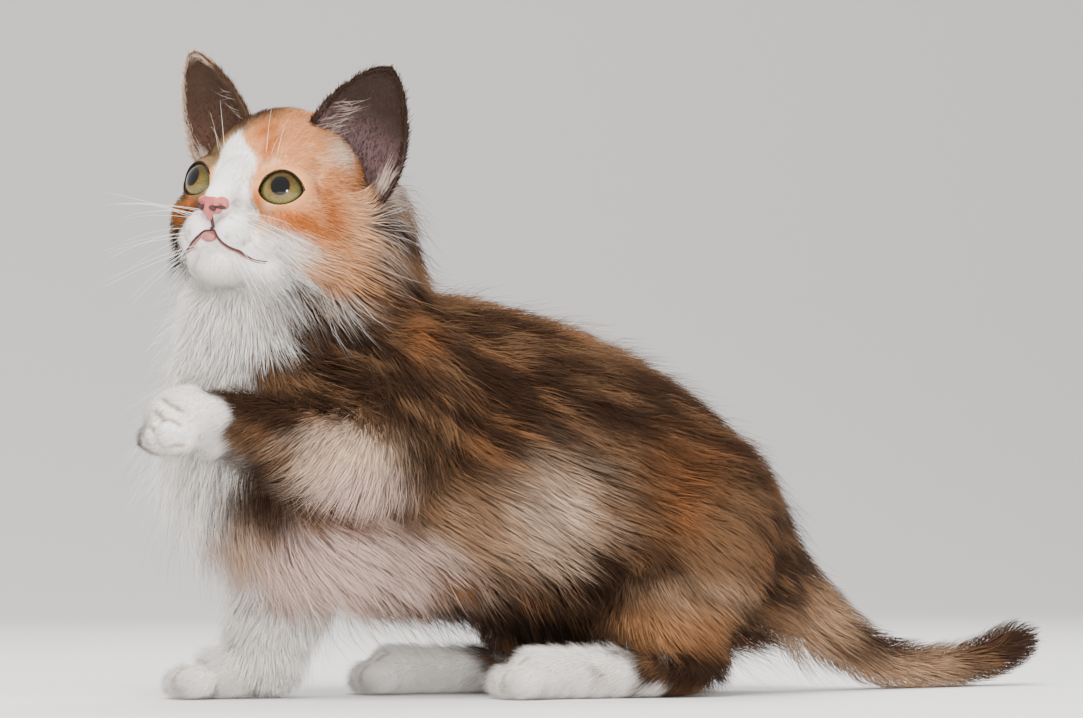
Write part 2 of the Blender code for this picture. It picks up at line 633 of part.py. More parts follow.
class Coat:
    """The locks of every node, each kept clear of the other nodes and of their locks."""

    def __init__(self, nodes):
        self.draw = random.Random(SEED)
        self.cores = {obj.name: surface_of(obj) for obj in nodes}
        self.locks = {obj.name: [] for obj in nodes}
        self.trees = {obj.name: [self.cores[obj.name]] for obj in nodes}
        bm = bmesh.new()
        for obj in nodes:
            bm.from_mesh(obj.data)
        self.body = BVHTree.FromBMesh(bm)
        bm.free()

    def node_at(self, place):
        return min(self.cores, key=lambda name: self.cores[name].find_nearest(place)[3])

    def is_clear(self, name, bm):
        tree = BVHTree.FromBMesh(bm)
        others = (t for other, trees in self.trees.items() if other != name for t in trees)
        return min(v.co.z for v in bm.verts) > 0 and not any(tree.overlap(t) for t in others)

    def grow(self, root, lie, size, rise, allowed):
        """Roots one lock on the surface, if it stands on an allowed node and clear of the rest."""
        name = self.node_at(root * MM)
        if name not in allowed:
            return
        for lift, share in LIFTS:
            frames = lie_along(self.body, root, lie, size[0] * share, rise + lift)
            wide = lock(frames, size, LOCK_CLEARANCE)
            clear = self.is_clear(name, wide)
            wide.free()
            if clear:
                bm = lock(frames, size)
                self.trees[name].append(BVHTree.FromBMesh(bm))
                self.locks[name].append(new_object("lock", bm))
                return

    def comb(self, line, ahead, rings, angles, each, lie, size, rise, nodes):
        """Grows rings of locks round a line, from one angle to the other, measured from ahead."""
        points = [Vector(p) for p in spline(line, 8)]
        for ring in range(rings):
            where = (len(points) - 1) * (ring + 0.5) / rings
            i = min(int(where), len(points) - 2)
            centre = points[i].lerp(points[i + 1], where - i)
            along = (points[i + 1] - points[i]).normalized()
            front = (ahead - ahead.project(along)).normalized()
            side = along.cross(front)
            for step in range(each):
                share = (step + 0.5 + 0.25 * (-1) ** ring + self.draw.uniform(-0.18, 0.18)) / each
                angle = math.radians(angles[0] + (angles[1] - angles[0]) * share)
                outwards = front * math.cos(angle) + side * math.sin(angle)
                start = centre + along * self.draw.uniform(-3, 3) + outwards * 150
                hit = self.body.ray_cast(start * MM, -outwards)[0]
                if hit is None:
                    continue
                grown_size = (size[0] * self.draw.uniform(0.85, 1.15), size[1] * self.draw.uniform(0.85, 1.1),
                              size[2])
                flow = (lie or along) + Vector([self.draw.uniform(-0.12, 0.12) for _ in range(3)])
                self.grow(hit / MM, flow.normalized(), grown_size, rise * self.draw.uniform(0.8, 1.15), nodes)

    def fuse(self, node):
        """Joins a node's locks to it as one closed body."""
        locks = self.locks[node.name]
        if not locks:
            return
        tufts = bpy.data.collections.new("locks")
        for obj in locks:
            bpy.context.scene.collection.objects.unlink(obj)
            tufts.objects.link(obj)
        bpy.context.scene.collection.children.link(tufts)
        boolean(node, tufts, "UNION")
        for obj in locks:
            bpy.data.objects.remove(obj)
        bpy.data.collections.remove(tufts)
        keep_largest(node)


def grow_coat(nodes):
    """The long coat: locks in overlapping rings over the body, the tail and both cheeks."""
    coat = Coat(nodes)
    for zone in ZONES.values():
        lie = Vector(zone["lie"]) if zone["lie"] else None
        coat.comb(zone["line"], Vector(zone["ahead"]), zone["rings"], zone["angles"], zone["each"],
                  lie, zone["size"], zone["rise"], zone["nodes"])
    to_body = head_matrix()
    turn = to_body.to_3x3()
    line = [to_body @ Vector(p) for p in CHEEK_LINE]
    for angles in CHEEK_ANGLES:
        coat.comb(line, turn @ Vector((0, 0, -1)), 2, angles, 4, turn @ Vector((-0.7, 0, -1)),
                  CHEEK_SIZE, CHEEK_RISE, ("head",))
    for node in nodes:
        coat.fuse(node)


def cut_away(obj, point, normal, span=(80, 80), depth=80.0):
    """Cuts off what lies beyond a plane, less half the gap, inside a box of this span."""
    cutter = block(point, normal, span, depth, -GAP / 2)
    boolean(obj, cutter, "DIFFERENCE")
    bpy.data.objects.remove(cutter)
    keep_largest(obj)


def make_trunk():
    """Everything between the head and the paws, in one piece."""
    limbs = run(ARM_LEFT) + run(LEG_RIGHT)
    limbs += run(THIGH_LEFT) + run(SHANK_LEFT) + run(THIGH_RIGHT) + run(SHANK_RIGHT)
    body = barrel(TORSO, 8) + run(NECK) + run(THROAT) + run(TAIL)
    return flesh("torso", body + limbs, 1.6, 24, TRUNK_TRIANGLES)


def make_head():
    """The head with sockets' flesh but no face opened yet."""
    forward, left, up = EYE_PLACE
    around_eye = (EYE_RADIUS + LID_THICKNESS + GAP,) * 3
    around_eyes = [ball((forward, side * left, up), around_eye, 0.0) for side in (1, -1)]
    return flesh("head", HEAD + around_eyes, 0.9, 12, HEAD_TRIANGLES, head_matrix())


def make_eye(head, side, word):
    """Cuts a socket and the opening between the lids, and sets the eyeball in."""
    socket = solid_ball("socket", eye_matrix(side), (EYE_RADIUS + GAP,) * 3, (14, 9))
    opening = lid_opening(side)
    for cutter in (socket, opening):
        boolean(head, cutter, "DIFFERENCE")
        bpy.data.objects.remove(cutter)
    solid_ball(f"eye_{word}", eye_matrix(side), (EYE_RADIUS,) * 3)


def make_paws(trunk):
    """The four paws, each meeting its leg at a flat wrist or fitted under its heel."""
    raised = paw(*RAISED_PAW) + [ball(*RAISED_PALM)] + run(ARM_LEFT[4:])
    forepaw_left = flesh("forepaw_left", raised, 1.0, 4, PAW_TRIANGLES)
    forepaw_right = flesh("forepaw_right", paw(*STANDING_PAW) + run(LEG_RIGHT[2:]), 1.0, 4, PAW_TRIANGLES)
    for obj, (point, outwards) in ((forepaw_left, WRIST_LEFT), (forepaw_right, WRIST_RIGHT)):
        cut_away(trunk, point, outwards, (60, 60), 60)
        cut_away(obj, point, -Vector(outwards))
    for word, place in (("left", HINDFOOT_LEFT), ("right", HINDFOOT_RIGHT)):
        toes = Vector(place)
        sole = [(*(toes + Vector((back, 0, 0))), radius, coat) for back, radius, coat in HINDFOOT_SOLE]
        foot = flesh(f"hindfoot_{word}", paw(toes, 0, 10, 2) + run(sole), 1.0, 4, PAW_TRIANGLES)
        cut_clear(trunk, foot)


def part_trunk(trunk):
    """Parts the neck, shoulder, legs and tail from the torso with thin cuts."""
    part_off(trunk, "neck", *NECK_CUT)
    for name, point, normal, span, depth in LEG_CUTS:
        part_off(trunk, name, point, normal, span, depth)
    rest = trunk
    for name, point, normal in TAIL_CUTS:
        rest = part_off(rest, name, point, normal, TAIL_CUT_SPAN, 150.0)


def stand_on_origin(objects):
    """Moves the whole kitten so that the middle of its box stands on the origin."""
    corners = [v.co for obj in objects for v in obj.data.vertices]
    low = [min(c[i] for c in corners) for i in range(3)]
    high = [max(c[i] for c in corners) for i in range(3)]
    shift = Vector((-(low[0] + high[0]) / 2, -(low[1] + high[1]) / 2, -low[2]))
    for obj in objects:
        obj.data.transform(Matrix.Translation(shift))


def colour(obj):
    """Gives a node its own material."""
    shade, roughness = LOOKS[obj.name]
    material = bpy.data.materials.new(f"{obj.name}_coat")
    material.use_nodes = True
    surface = material.node_tree.nodes["Principled BSDF"]
    surface.inputs["Base Color"].default_value = (*shade, 1)
    surface.inputs["Roughness"].default_value = roughness
    surface.inputs["Metallic"].default_value = 0.0
    material.diffuse_color = (*shade, 1)
    obj.data.materials.clear()
    obj.data.materials.append(material)


def main():
    clear_scene()
    head = make_head()
    trunk = make_trunk()
    for side, word in ((1, "left"), (-1, "right")):
        leaf = ear(f"ear_{word}", side)
        cut_clear(leaf, head)
        cut_clear(trunk, leaf)
    cut_clear(trunk, head, HEAD_CUTTER_GAP, HEAD_CUTTER_TRIANGLES)
    open_face(head)
    for side, word in ((1, "left"), (-1, "right")):
        make_eye(head, side, word)
    keep_largest(head)
    make_paws(trunk)
    flatten_sole(trunk)
    part_trunk(trunk)
    nodes = list(bpy.data.objects)
    for obj in nodes:
        if "paw" in obj.name or "foot" in obj.name:
            flatten_sole(obj)
    grow_coat(nodes)
    stand_on_origin(nodes)
    kitten = bpy.data.collections.new("munchkin_kitten")
    bpy.context.scene.collection.children.link(kitten)
    for obj in nodes:
        colour(obj)
        bpy.context.scene.collection.objects.unlink(obj)
        kitten.objects.link(obj)


main()
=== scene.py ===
# %% [markdown]
# # A munchkin kitten, dressed
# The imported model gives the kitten's solids. This lesson gives them skin, eyes, ears, fur and whiskers.
# Lengths in the tables are millimetres in the body's own frame: the kitten faces -X, its left side
# is -Y and +Z is up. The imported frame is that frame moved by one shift, found in the next cell.

import math

import bmesh
import bpy
import numpy as np
from mathutils import Matrix, Vector, noise
from mathutils.bvhtree import BVHTree
from mathutils.kdtree import KDTree


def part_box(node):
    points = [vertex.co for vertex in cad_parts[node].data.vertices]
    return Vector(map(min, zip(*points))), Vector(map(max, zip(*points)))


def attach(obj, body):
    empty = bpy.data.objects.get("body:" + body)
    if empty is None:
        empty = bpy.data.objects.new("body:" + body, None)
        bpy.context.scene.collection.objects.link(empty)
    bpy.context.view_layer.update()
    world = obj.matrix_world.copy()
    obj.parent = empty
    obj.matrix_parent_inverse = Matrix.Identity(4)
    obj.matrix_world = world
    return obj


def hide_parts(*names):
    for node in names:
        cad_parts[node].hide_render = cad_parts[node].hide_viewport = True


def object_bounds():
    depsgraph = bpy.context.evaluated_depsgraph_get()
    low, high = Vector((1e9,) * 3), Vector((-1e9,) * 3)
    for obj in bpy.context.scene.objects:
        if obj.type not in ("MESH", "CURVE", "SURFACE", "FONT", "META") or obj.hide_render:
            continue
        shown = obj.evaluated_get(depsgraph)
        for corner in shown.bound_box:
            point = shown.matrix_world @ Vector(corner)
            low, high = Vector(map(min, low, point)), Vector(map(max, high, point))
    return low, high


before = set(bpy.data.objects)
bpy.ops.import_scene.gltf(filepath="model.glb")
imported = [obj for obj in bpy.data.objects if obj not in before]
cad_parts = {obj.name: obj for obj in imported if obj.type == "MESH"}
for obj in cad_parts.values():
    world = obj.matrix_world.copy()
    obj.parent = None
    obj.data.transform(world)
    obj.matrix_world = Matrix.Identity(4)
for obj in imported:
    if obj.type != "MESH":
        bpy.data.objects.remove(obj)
CAD_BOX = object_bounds()
MM = 0.001
print("nodes:", sorted(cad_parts))

# %% [markdown]
# ## Where the head is
# The head turns to the kitten's left and looks up, so everything on the face is placed in the head's own
# frame: forward, left, up. One matrix carries that frame into the body's. The left eyeball is the only
# solid whose middle is known in both frames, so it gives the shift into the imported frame.

# %% The head's frame and the shift
HEAD_PLACE = (-104.0, -12.0, 172.0)
HEAD_YAW, HEAD_PITCH, HEAD_ROLL = 42.0, 6.0, 8.0
EYE_PLACE = (15.2, 14.8, 2.0)
EYE_RADIUS = 9.6
EYE_TURN_OUT = 20.0
EYE_SLANT = 8.0
EYE_OPENING = (8.0, 7.0)  # half width and half height
LID_THICKNESS = 1.1
LEFT, RIGHT = 1, -1
SIDES = ((LEFT, "left"), (RIGHT, "right"))


def on_side(side, place):
    """A place or way given for the left, on this side of the head."""
    return Vector((place[0], side * place[1], place[2]))


def head_matrix():
    """Carries the head's own frame (forward, left, up) into the body's."""
    yaw, pitch, roll = (math.radians(a) for a in (HEAD_YAW, HEAD_PITCH, HEAD_ROLL))
    facing = Matrix(((-math.cos(yaw), math.sin(yaw), 0), (-math.sin(yaw), -math.cos(yaw), 0), (0, 0, 1)))
    turn = facing @ Matrix.Rotation(-pitch, 3, "Y") @ Matrix.Rotation(-roll, 3, "X")
    return Matrix.Translation(HEAD_PLACE) @ turn.to_4x4()


def eye_matrix(side):
    """Carries an eye's frame (outwards along its sight, across, up) into the body's."""
    place = Matrix.Translation(on_side(side, EYE_PLACE))
    return HEAD @ place @ Matrix.Rotation(math.radians(side * EYE_TURN_OUT), 4, "Z")


HEAD = head_matrix()
eye_low, eye_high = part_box("eye_left")
SHIFT = (eye_low + eye_high) / (2 * MM) - HEAD @ Vector(EYE_PLACE)
TO_FRAME = Matrix.Scale(MM, 4) @ Matrix.Translation(SHIFT)
print("shift:", [round(c, 2) for c in SHIFT])


# %% Rows of points and vectors
def in_body(points):
    """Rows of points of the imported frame, in the body's."""
    return points / MM - np.array(SHIFT)


def carried(points, matrix):
    """Rows of points moved by a matrix."""
    matrix = np.array(matrix)
    return points @ matrix[:3, :3].T + matrix[:3, 3]


def turned(vectors, matrix):
    """Rows of vectors turned by a matrix."""
    return vectors @ np.array(matrix)[:3, :3].T


def length_of(vectors):
    return np.linalg.norm(vectors, axis=1)


def unit(vectors, least=0.0):
    """Rows of vectors at length 1; least keeps a vector of no length from dividing by zero."""
    return vectors / (length_of(vectors)[:, None] + least)

# %% [markdown]
# ## Camera, light and floor
# The photograph was taken from the kitten's left and a little ahead of it, at the height of its body.
# The lens is long, so the far legs are hardly smaller than the near ones. Four wide soft lamps and a
# bright room give the even light of a studio. A fifth, small lamp beside the camera puts the one bright
# spot into each eye. The floor curves up behind like a roll of paper.

# %% New objects
def in_scene(name, data):
    """A new object of the scene that shows this mesh, lamp or camera."""
    obj = bpy.data.objects.new(name, data)
    bpy.context.scene.collection.objects.link(obj)
    return obj


def new_object(name, bm):
    mesh = bpy.data.meshes.new(name)
    bm.to_mesh(mesh)
    bm.free()
    return in_scene(name, mesh)


# %% Camera
PHOTO_WIDTH = 1083
MM_PER_PIXEL = 0.36
CAMERA_AZIMUTH = -20.0
CAMERA_DISTANCE = 1250.0
CAMERA_HEIGHT = 50.0
AIM_HEIGHT = 120.8
SENSOR = 36.0

camera_data = bpy.data.cameras.new("camera")
camera_data.sensor_width = SENSOR
camera_data.lens = CAMERA_DISTANCE / MM_PER_PIXEL * SENSOR / PHOTO_WIDTH
camera = in_scene("camera", camera_data)
azimuth = math.radians(CAMERA_AZIMUTH)
stand = Vector((math.sin(azimuth) * CAMERA_DISTANCE, -math.cos(azimuth) * CAMERA_DISTANCE, CAMERA_HEIGHT))
target = Vector((0, 0, AIM_HEIGHT))
camera.location = TO_FRAME @ stand
camera.rotation_euler = (target - stand).to_track_quat("-Z", "Y").to_euler()
bpy.context.scene.camera = camera
print("lens:", round(camera_data.lens, 1), "mm")


# %% Lamps and room light
WIDE_LAMP = 0.5  # metres; lamps this wide or wider are left out of reflections
ROOM_TINT = (1.0, 0.98, 0.96, 1)
ROOM_STRENGTH = 0.85


def lamp(name, place, aim, size, power, tint=(1, 1, 1)):
    """A round soft lamp at place, turned to aim; lengths in metres."""
    data = bpy.data.lights.new(name, "AREA")
    data.shape = "DISK"
    data.size = size
    data.energy = power
    data.color = tint
    light = in_scene(name, data)
    light.location = place
    light.rotation_euler = (Vector(aim) - Vector(place)).to_track_quat("-Z", "Y").to_euler()
    light.visible_glossy = size < WIDE_LAMP


lamp("key", (-0.60, -0.85, 1.45), (-0.05, 0, 0.1), 1.1, 54, (1.0, 0.97, 0.94))
lamp("fill", (1.0, -1.2, 0.6), (0, 0, 0.1), 1.2, 18)
lamp("top", (0.25, 0.6, 1.4), (0, 0, 0.1), 1.0, 20)
lamp("low", (-0.9, -1.3, 0.22), (0, 0, 0.05), 0.9, 13)
lamp("front", camera.location + Vector((0.30, 0, 0.10)), (0, 0, 0.12), 0.17, 6)
world = bpy.data.worlds.new("studio")
world.use_nodes = True
room = world.node_tree.nodes["Background"].inputs
room["Color"].default_value = ROOM_TINT
room["Strength"].default_value = ROOM_STRENGTH
bpy.context.scene.world = world

# %% [markdown]
# ## Writing materials as sums
# A finish is a small graph of nodes. Drawing the graph by hand hides the idea, so two classes let the
# lesson write it as sums instead: a Value wraps a socket, and its arithmetic signs add Math nodes.


# %% A socket that can be added and multiplied
class Value:
    """A socket of a finish; arithmetic on it adds Math nodes."""

    def __init__(self, finish, socket):
        self.finish = finish
        self.socket = socket

    def maths(self, operation, first, second=0.0):
        return self.finish.add("ShaderNodeMath", {"operation": operation}, {0: first, 1: second})

    def __add__(self, other):
        return self.maths("ADD", self, other)

    def __radd__(self, other):
        return self.maths("ADD", other, self)

    def __sub__(self, other):
        return self.maths("SUBTRACT", self, other)

    def __rsub__(self, other):
        return self.maths("SUBTRACT", other, self)

    def __mul__(self, other):
        return self.maths("MULTIPLY", self, other)

    def __rmul__(self, other):
        return self.maths("MULTIPLY", other, self)


# %% A finish and the one method that adds nodes
class Finish:
    """A material with one Principled surface."""

    def __init__(self, name, **surface):
        self.material = bpy.data.materials.new(name)
        self.material.use_nodes = True
        self.tree = self.material.node_tree
        self.surface = self.tree.nodes["Principled BSDF"]
        self.wear(**surface)

    def wear(self, **surface):
        """Sets or links sockets of the surface; base_color feeds Base Color."""
        for name, value in surface.items():
            self.feed(self.surface, name.replace("_", " ").title().replace("Ior", "IOR"), value)

    def feed(self, node, name, value):
        if isinstance(value, Value):
            self.tree.links.new(value.socket, node.inputs[name])
        else:
            node.inputs[name].default_value = value

    def add(self, kind, settings, sockets, output=0):
        """A node of this type: its settings first, then the values or links of its sockets."""
        node = self.tree.nodes.new(kind)
        for name, value in settings.items():
            if name == "stops":
                self.set_stops(node.color_ramp, value)
            else:
                setattr(node, name, value)
        for name, value in sockets.items():
            self.feed(node, name, value)
        return Value(self, node.outputs[output])

    def set_stops(self, ramp, stops):
        while len(ramp.elements) < len(stops):
            ramp.elements.new(1.0)
        for element, (place, colour) in zip(ramp.elements, stops):
            element.position = place
            element.color = (*colour, 1)

    def place(self):
        return self.add("ShaderNodeTexCoord", {}, {}, "Object")

    def painted(self, name, output="Color"):
        return self.add("ShaderNodeAttribute", {"attribute_name": name}, {}, output)

    def height_in(self, where):
        return self.add("ShaderNodeSeparateXYZ", {}, {0: where}, "Y")

    def vectors(self, operation, first, second=(0, 0, 0), output=0):
        sockets = {0: first, 1: second}
        return self.add("ShaderNodeVectorMath", {"operation": operation}, sockets, output)

    def ramp(self, factor, stops):
        return self.add("ShaderNodeValToRGB", {"stops": stops}, {"Fac": factor})

    def mottle(self, where, scale, detail=2.0):
        return self.add("ShaderNodeTexNoise", {}, {"Vector": where, "Scale": scale, "Detail": detail})

    def mix(self, share, first, second, blend="MIX"):
        settings = {"data_type": "RGBA", "blend_type": blend}
        return self.add("ShaderNodeMix", settings, {0: share, 6: first, 7: second}, 2)

    def bump(self, height, strength, depth):
        sockets = {"Height": height, "Strength": strength, "Distance": depth}
        return self.add("ShaderNodeBump", {}, sockets, "Normal")


def soft_step(value, low, high):
    """0 below low, 1 above high, smooth between."""
    settings = {"interpolation_type": "SMOOTHSTEP"}
    sockets = {"Value": value, "From Min": low, "From Max": high}
    return value.finish.add("ShaderNodeMapRange", settings, sockets)


# %% The floor
PAPER = 3.0  # metres from the middle of the floor to its edges, and the height of the wall
BEND = 1.5  # radius of the curve between them

bm = bmesh.new()
bmesh.ops.create_grid(bm, x_segments=1, y_segments=1, size=PAPER)
far_edge = [e for e in bm.edges if all(v.co.y > 0 for v in e.verts)]
wall = bmesh.ops.extrude_edge_only(bm, edges=far_edge)
raised = [g for g in wall["geom"] if isinstance(g, bmesh.types.BMVert)]
bmesh.ops.translate(bm, verts=raised, vec=(0, 0, PAPER))
bmesh.ops.bevel(bm, geom=far_edge, offset=BEND, segments=24, profile=0.5, affect="EDGES", material=-1)
floor = new_object("studio_floor", bm)
floor.data.shade_smooth()
paper = Finish("studio_paper", roughness=0.75)
grain = paper.mottle(paper.place(), 900.0)
paper.wear(
    base_color=paper.mix(grain, (0.74, 0.73, 0.72, 1), (0.78, 0.77, 0.76, 1)),
    normal=paper.bump(grain, 0.05, 0.0002),
)
floor.data.materials.append(paper.material)

# %% [markdown]
# ## Flesh
# A body like this has no flat or turned shape in it. It is built as overlapping balls of flesh, with runs
# of balls along each limb, which a voxel remesh then blends into one closed skin. Each ball also says how
# deep the coat is over it and which way the hair lies there, so the fur can follow the same table.


# %% Balls and runs of balls
def ball(centre, radii, coat, lie=(1.0, 0.0, -0.5)):
    return {"centre": Vector(centre), "radii": Vector(radii), "coat": coat, "lie": Vector(lie)}


def spline(points, steps):
    """Points on a smooth curve through rows of numbers, with this many steps between two rows."""
    rows = [points[0], *points, points[-1]]
    for i in range(1, len(rows) - 2):
        for step in range(steps):
            t = step / steps
            yield [
                0.5 * (2 * b + (c - a) * t + (2 * a - 5 * b + 4 * c - d) * t**2
                       + (3 * b - a - 3 * c + d) * t**3)
                for a, b, c, d in zip(rows[i - 1], rows[i], rows[i + 1], rows[i + 2])
            ]
    yield list(points[-1])


def run(points, lies, steps=4):
    """Round balls along a limb; each row is x, y, z, radius, coat. The lie turns from first to last."""
    rows = list(spline(points, steps))
    first, last = Vector(lies[0]), Vector(lies[-1])
    return [ball(p[:3], (p[3],) * 3, p[4], first.lerp(last, i / max(len(rows) - 1, 1)))
            for i, p in enumerate(rows)]


def barrel(rows, lie, steps=8, reach=12.0):
    """Flat balls along the torso; each row is x, y, top, bottom, half width, coat."""
    balls = []
    for x, y, top, bottom, half, coat in spline(rows, steps):
        height = (top - bottom) / 2
        balls.append(ball((x, y, (top + bottom) / 2), (min(reach, height), half, height), coat, lie))
    return balls


TOE_SPACING = 6.1


def paw(place, heading, length, toe_drop, lie, scale=1.0):
    """A pad of flesh with four toes in front, heading in degrees from -X to -Y."""
    ahead = Vector((-math.cos(math.radians(heading)), -math.sin(math.radians(heading)), 0))
    aside = Vector((ahead.y, -ahead.x, 0))
    centre = Vector(place)
    balls = [ball(centre, (11.5 * scale, 10.5 * scale, 8.5 * scale), 1.8, lie)]
    for spread in (-1.5, -0.5, 0.5, 1.5):
        reach = length - 2.2 * (abs(spread) - 0.5)
        toe = centre + ahead * reach + aside * spread * TOE_SPACING * scale + Vector((0, 0, -toe_drop))
        balls.append(ball(toe, (6.2 * scale, 3.9 * scale, 5.0 * scale), 1.5, lie))
    return balls


# %% Torso, neck and tail
TORSO = [
    (-119, 5, 118, 68, 17, 9),
    (-108, 3, 132, 54, 27, 9),
    (-90, 0, 139, 44, 33, 9),
    (-62, 0, 141, 40, 35, 8),
    (-30, 0, 137, 38, 34, 8),
    (5, 0, 128, 33, 37, 8),
    (36, 0, 114, 28, 36, 8),
    (60, 0, 97, 25, 31, 8),
    (78, 0, 75, 26, 24, 8),
]
NECK = [
    (-72, 3, 118, 31, 8),
    (-79, 1, 140, 29, 8),
    (-85, -2, 161, 29, 9),
]
THROAT = [
    (-106, 0, 112, 22, 8),
    (-108, -3, 130, 20, 7),
    (-108, -8, 147, 18, 6),
]
TAIL = [
    (78, 0, 52, 14, 8),
    (98, 3, 37, 9, 10),
    (118, 8, 21.5, 6.5, 10),
    (142, 15, 10.5, 5, 9),
    (170, 23, 8, 4.5, 7.5),
    (193, 29.5, 11.3, 4.8, 7.5),
    (207, 33, 16.3, 4.4, 8),
]
CHEST_TURNS = -100.0  # ahead of this x the chest's hair hangs instead of lying back

body_balls = barrel(TORSO, (1.0, 0.0, -0.5))
for b in body_balls:
    if b["centre"].x < CHEST_TURNS:
        b["lie"] = Vector((0.15, 0.0, -1.0))
body_balls += run(NECK, [(0.7, 0, -0.9), (0.7, 0, -0.7)]) + run(THROAT, [(0.1, 0, -1)])
tail_balls = run(TAIL, [(1, 0.2, -0.7), (1, 0.3, 0.15)])
print(len(body_balls), "balls of body,", len(tail_balls), "of tail")

# %% Legs and paws
ARM_LEFT = [
    (-60, -22, 110, 19, 8),
    (-64, -31, 95, 15, 8),
    (-72, -36, 85, 12, 7),
    (-92, -37, 87, 11, 6),
    (-112, -35, 92, 10, 4.5),
    (-128, -32, 96, 9, 2.5),
]
LEG_RIGHT = [
    (-86, 20, 66, 18, 7),
    (-90, 17, 46, 14.5, 8),
    (-97, 14, 29, 11.5, 6),
    (-100, 12, 14, 11, 3.5),
]
THIGH_LEFT = [
    (56, -16, 66, 24, 6),
    (48, -22, 50, 24, 6),
    (34, -26, 34, 17, 6),
]
SHANK_LEFT = [
    (34, -28, 32, 14, 5),
    (46, -29, 22, 9, 4),
    (50, -30, 14, 7, 3),
]
RIGHT_THIGH_AHEAD = (10.0, 26.0, 30.0)
RIGHT_SHANK_AHEAD = 28.0
HINDFOOT_SOLE = [(4, 8.5, 2), (30, 8, 2.5), (56, 7.5, 3)]  # back from the toes, radius, coat
THIGH_LIE = [(0.8, 0, -0.6), (0.7, 0, -0.8)]
FOOT_LIE = (-1.0, 0.0, -0.5)

thigh_right = [(x - ahead, -y, z, r, c) for (x, y, z, r, c), ahead in zip(THIGH_LEFT, RIGHT_THIGH_AHEAD)]
shank_right = [(x - RIGHT_SHANK_AHEAD, -y, z, r, c) for x, y, z, r, c in SHANK_LEFT]
thigh_balls = run(THIGH_LEFT, THIGH_LIE) + run(thigh_right, THIGH_LIE)
leg_balls = run(SHANK_LEFT, [(0.8, 0, -0.7)]) + run(shank_right, [(0.8, 0, -0.7)])
leg_balls += run(ARM_LEFT, [(0.5, 0, -0.8), (-1, 0, -0.4)]) + run(LEG_RIGHT, [(0.3, 0, -1), (0, 0, -1)])
foot_balls = paw((-139, -31, 96.5), 0, 8, 6, FOOT_LIE, 1.15) + paw((-113, 12, 8.2), 0, 15, 2, FOOT_LIE)
foot_balls.append(ball((-128, -32, 91), (8, 7, 7.5), 1.5, (-0.2, 0, -1)))
for toes in (Vector((-12, -31, 8.3)), Vector((-45, 29, 8.3))):
    sole = [(*(toes + Vector((back, 0, 0))), radius, coat) for back, radius, coat in HINDFOOT_SOLE]
    foot_balls += paw(toes, 0, 10, 2, FOOT_LIE) + run(sole, [FOOT_LIE])
print(len(leg_balls), "balls of leg,", len(foot_balls), "of foot")

# %% Head
LID_COVER = 0.3  # what smoothing takes off the lids
BRIDGE = [(14, 0, 9, 8, 1.2), (24, 0, 4.5, 6.4, 1.2), (31, 0, -1.5, 4.8, 1.0), (34.5, 0, -5.5, 4.2, 0.6)]
SIDES_OF_HEAD = (
    (-12, 18, 17, (8, 7, 8), 3.0),
    (19, 5.5, 0.5, (9, 5, 6), 1.2),
    (5, 17, -9, (17, 14, 15), 6.0),
    (-4, 23, -5, (13, 10, 13), 11.0),
    (-8, 25, -14, (12, 9, 12), 13.0),
    (27.5, 6.0, -15.0, (8.2, 7.4, 7.2), 1.6),
    (20, 11, -17.5, (10, 8, 8), 2.0),
    (12, 9, -23, (14, 10, 8), 4.0),
)
head_balls = [
    ball((-6, 0, 7), (28, 28, 27), 3.5),
    ball((7, 0, 9.5), (17, 23, 16.5), 2.5),
    ball((18, 0, -14.5), (14, 13, 11), 2.0),
    ball((23, 0, -26), (9, 8.5, 6.5), 2.5),
    ball((-4, 0, -14), (22, 26, 18), 5.0),
]
head_balls += [ball(on_side(side, place), radii, coat) for side in (LEFT, RIGHT)
               for *place, radii, coat in SIDES_OF_HEAD]
head_balls += run(BRIDGE, [(0, 0, 0)])
lid_radii = (EYE_RADIUS + LID_THICKNESS + LID_COVER,) * 3
head_balls += [ball(on_side(side, EYE_PLACE), lid_radii, 1.2) for side in (LEFT, RIGHT)]
print(len(head_balls), "balls of head")

# %% [markdown]
# ## One skin over everything
# The voxel remesh turns all balls into one watertight sheet, and a few rounds of smoothing take away the
# steps of the voxels. The sockets and the almond openings between the lids are then cut with Booleans,
# which leaves each lid with a real edge.

# %% Helpers for meshes
COAT_UNDER_SKIN = 0.06  # how much of the coat's depth the skin takes in
VOXEL = 0.95


def bake(obj):
    """Applies every modifier."""
    bpy.context.view_layer.update()
    graph = bpy.context.evaluated_depsgraph_get()
    mesh = bpy.data.meshes.new_from_object(obj.evaluated_get(graph))
    obj.modifiers.clear()
    obj.data = mesh


def egg(name, matrix, around, along, radius=1):
    """A sphere stretched and placed by a matrix, with this many faces around and along it."""
    bm = bmesh.new()
    bmesh.ops.create_uvsphere(bm, u_segments=around, v_segments=along, radius=radius, matrix=matrix)
    return new_object(name, bm)


def thin(obj, triangles):
    """Reduces a mesh to about this many triangles."""
    count = sum(len(p.vertices) - 2 for p in obj.data.polygons)
    if count > triangles:
        decimate = obj.modifiers.new("thin", "DECIMATE")
        decimate.ratio = triangles / count
        bake(obj)


def blend(name, groups, voxel, smoothing, share):
    """One closed mesh round groups of balls, each group with the matrix that places it."""
    bm = bmesh.new()
    for balls, placed in groups:
        for b in balls:
            radii = b["radii"] + Vector((1, 1, 1)) * b["coat"] * share
            where = TO_FRAME @ placed @ Matrix.Translation(b["centre"]) @ Matrix.Diagonal((*radii, 1))
            bmesh.ops.create_icosphere(bm, subdivisions=3, radius=1, matrix=where)
    obj = new_object(name, bm)
    remesh = obj.modifiers.new("blend", "REMESH")
    remesh.mode = "VOXEL"
    remesh.voxel_size = voxel * MM
    smooth = obj.modifiers.new("smooth", "SMOOTH")
    smooth.factor = 0.5
    smooth.iterations = smoothing
    bake(obj)
    return obj


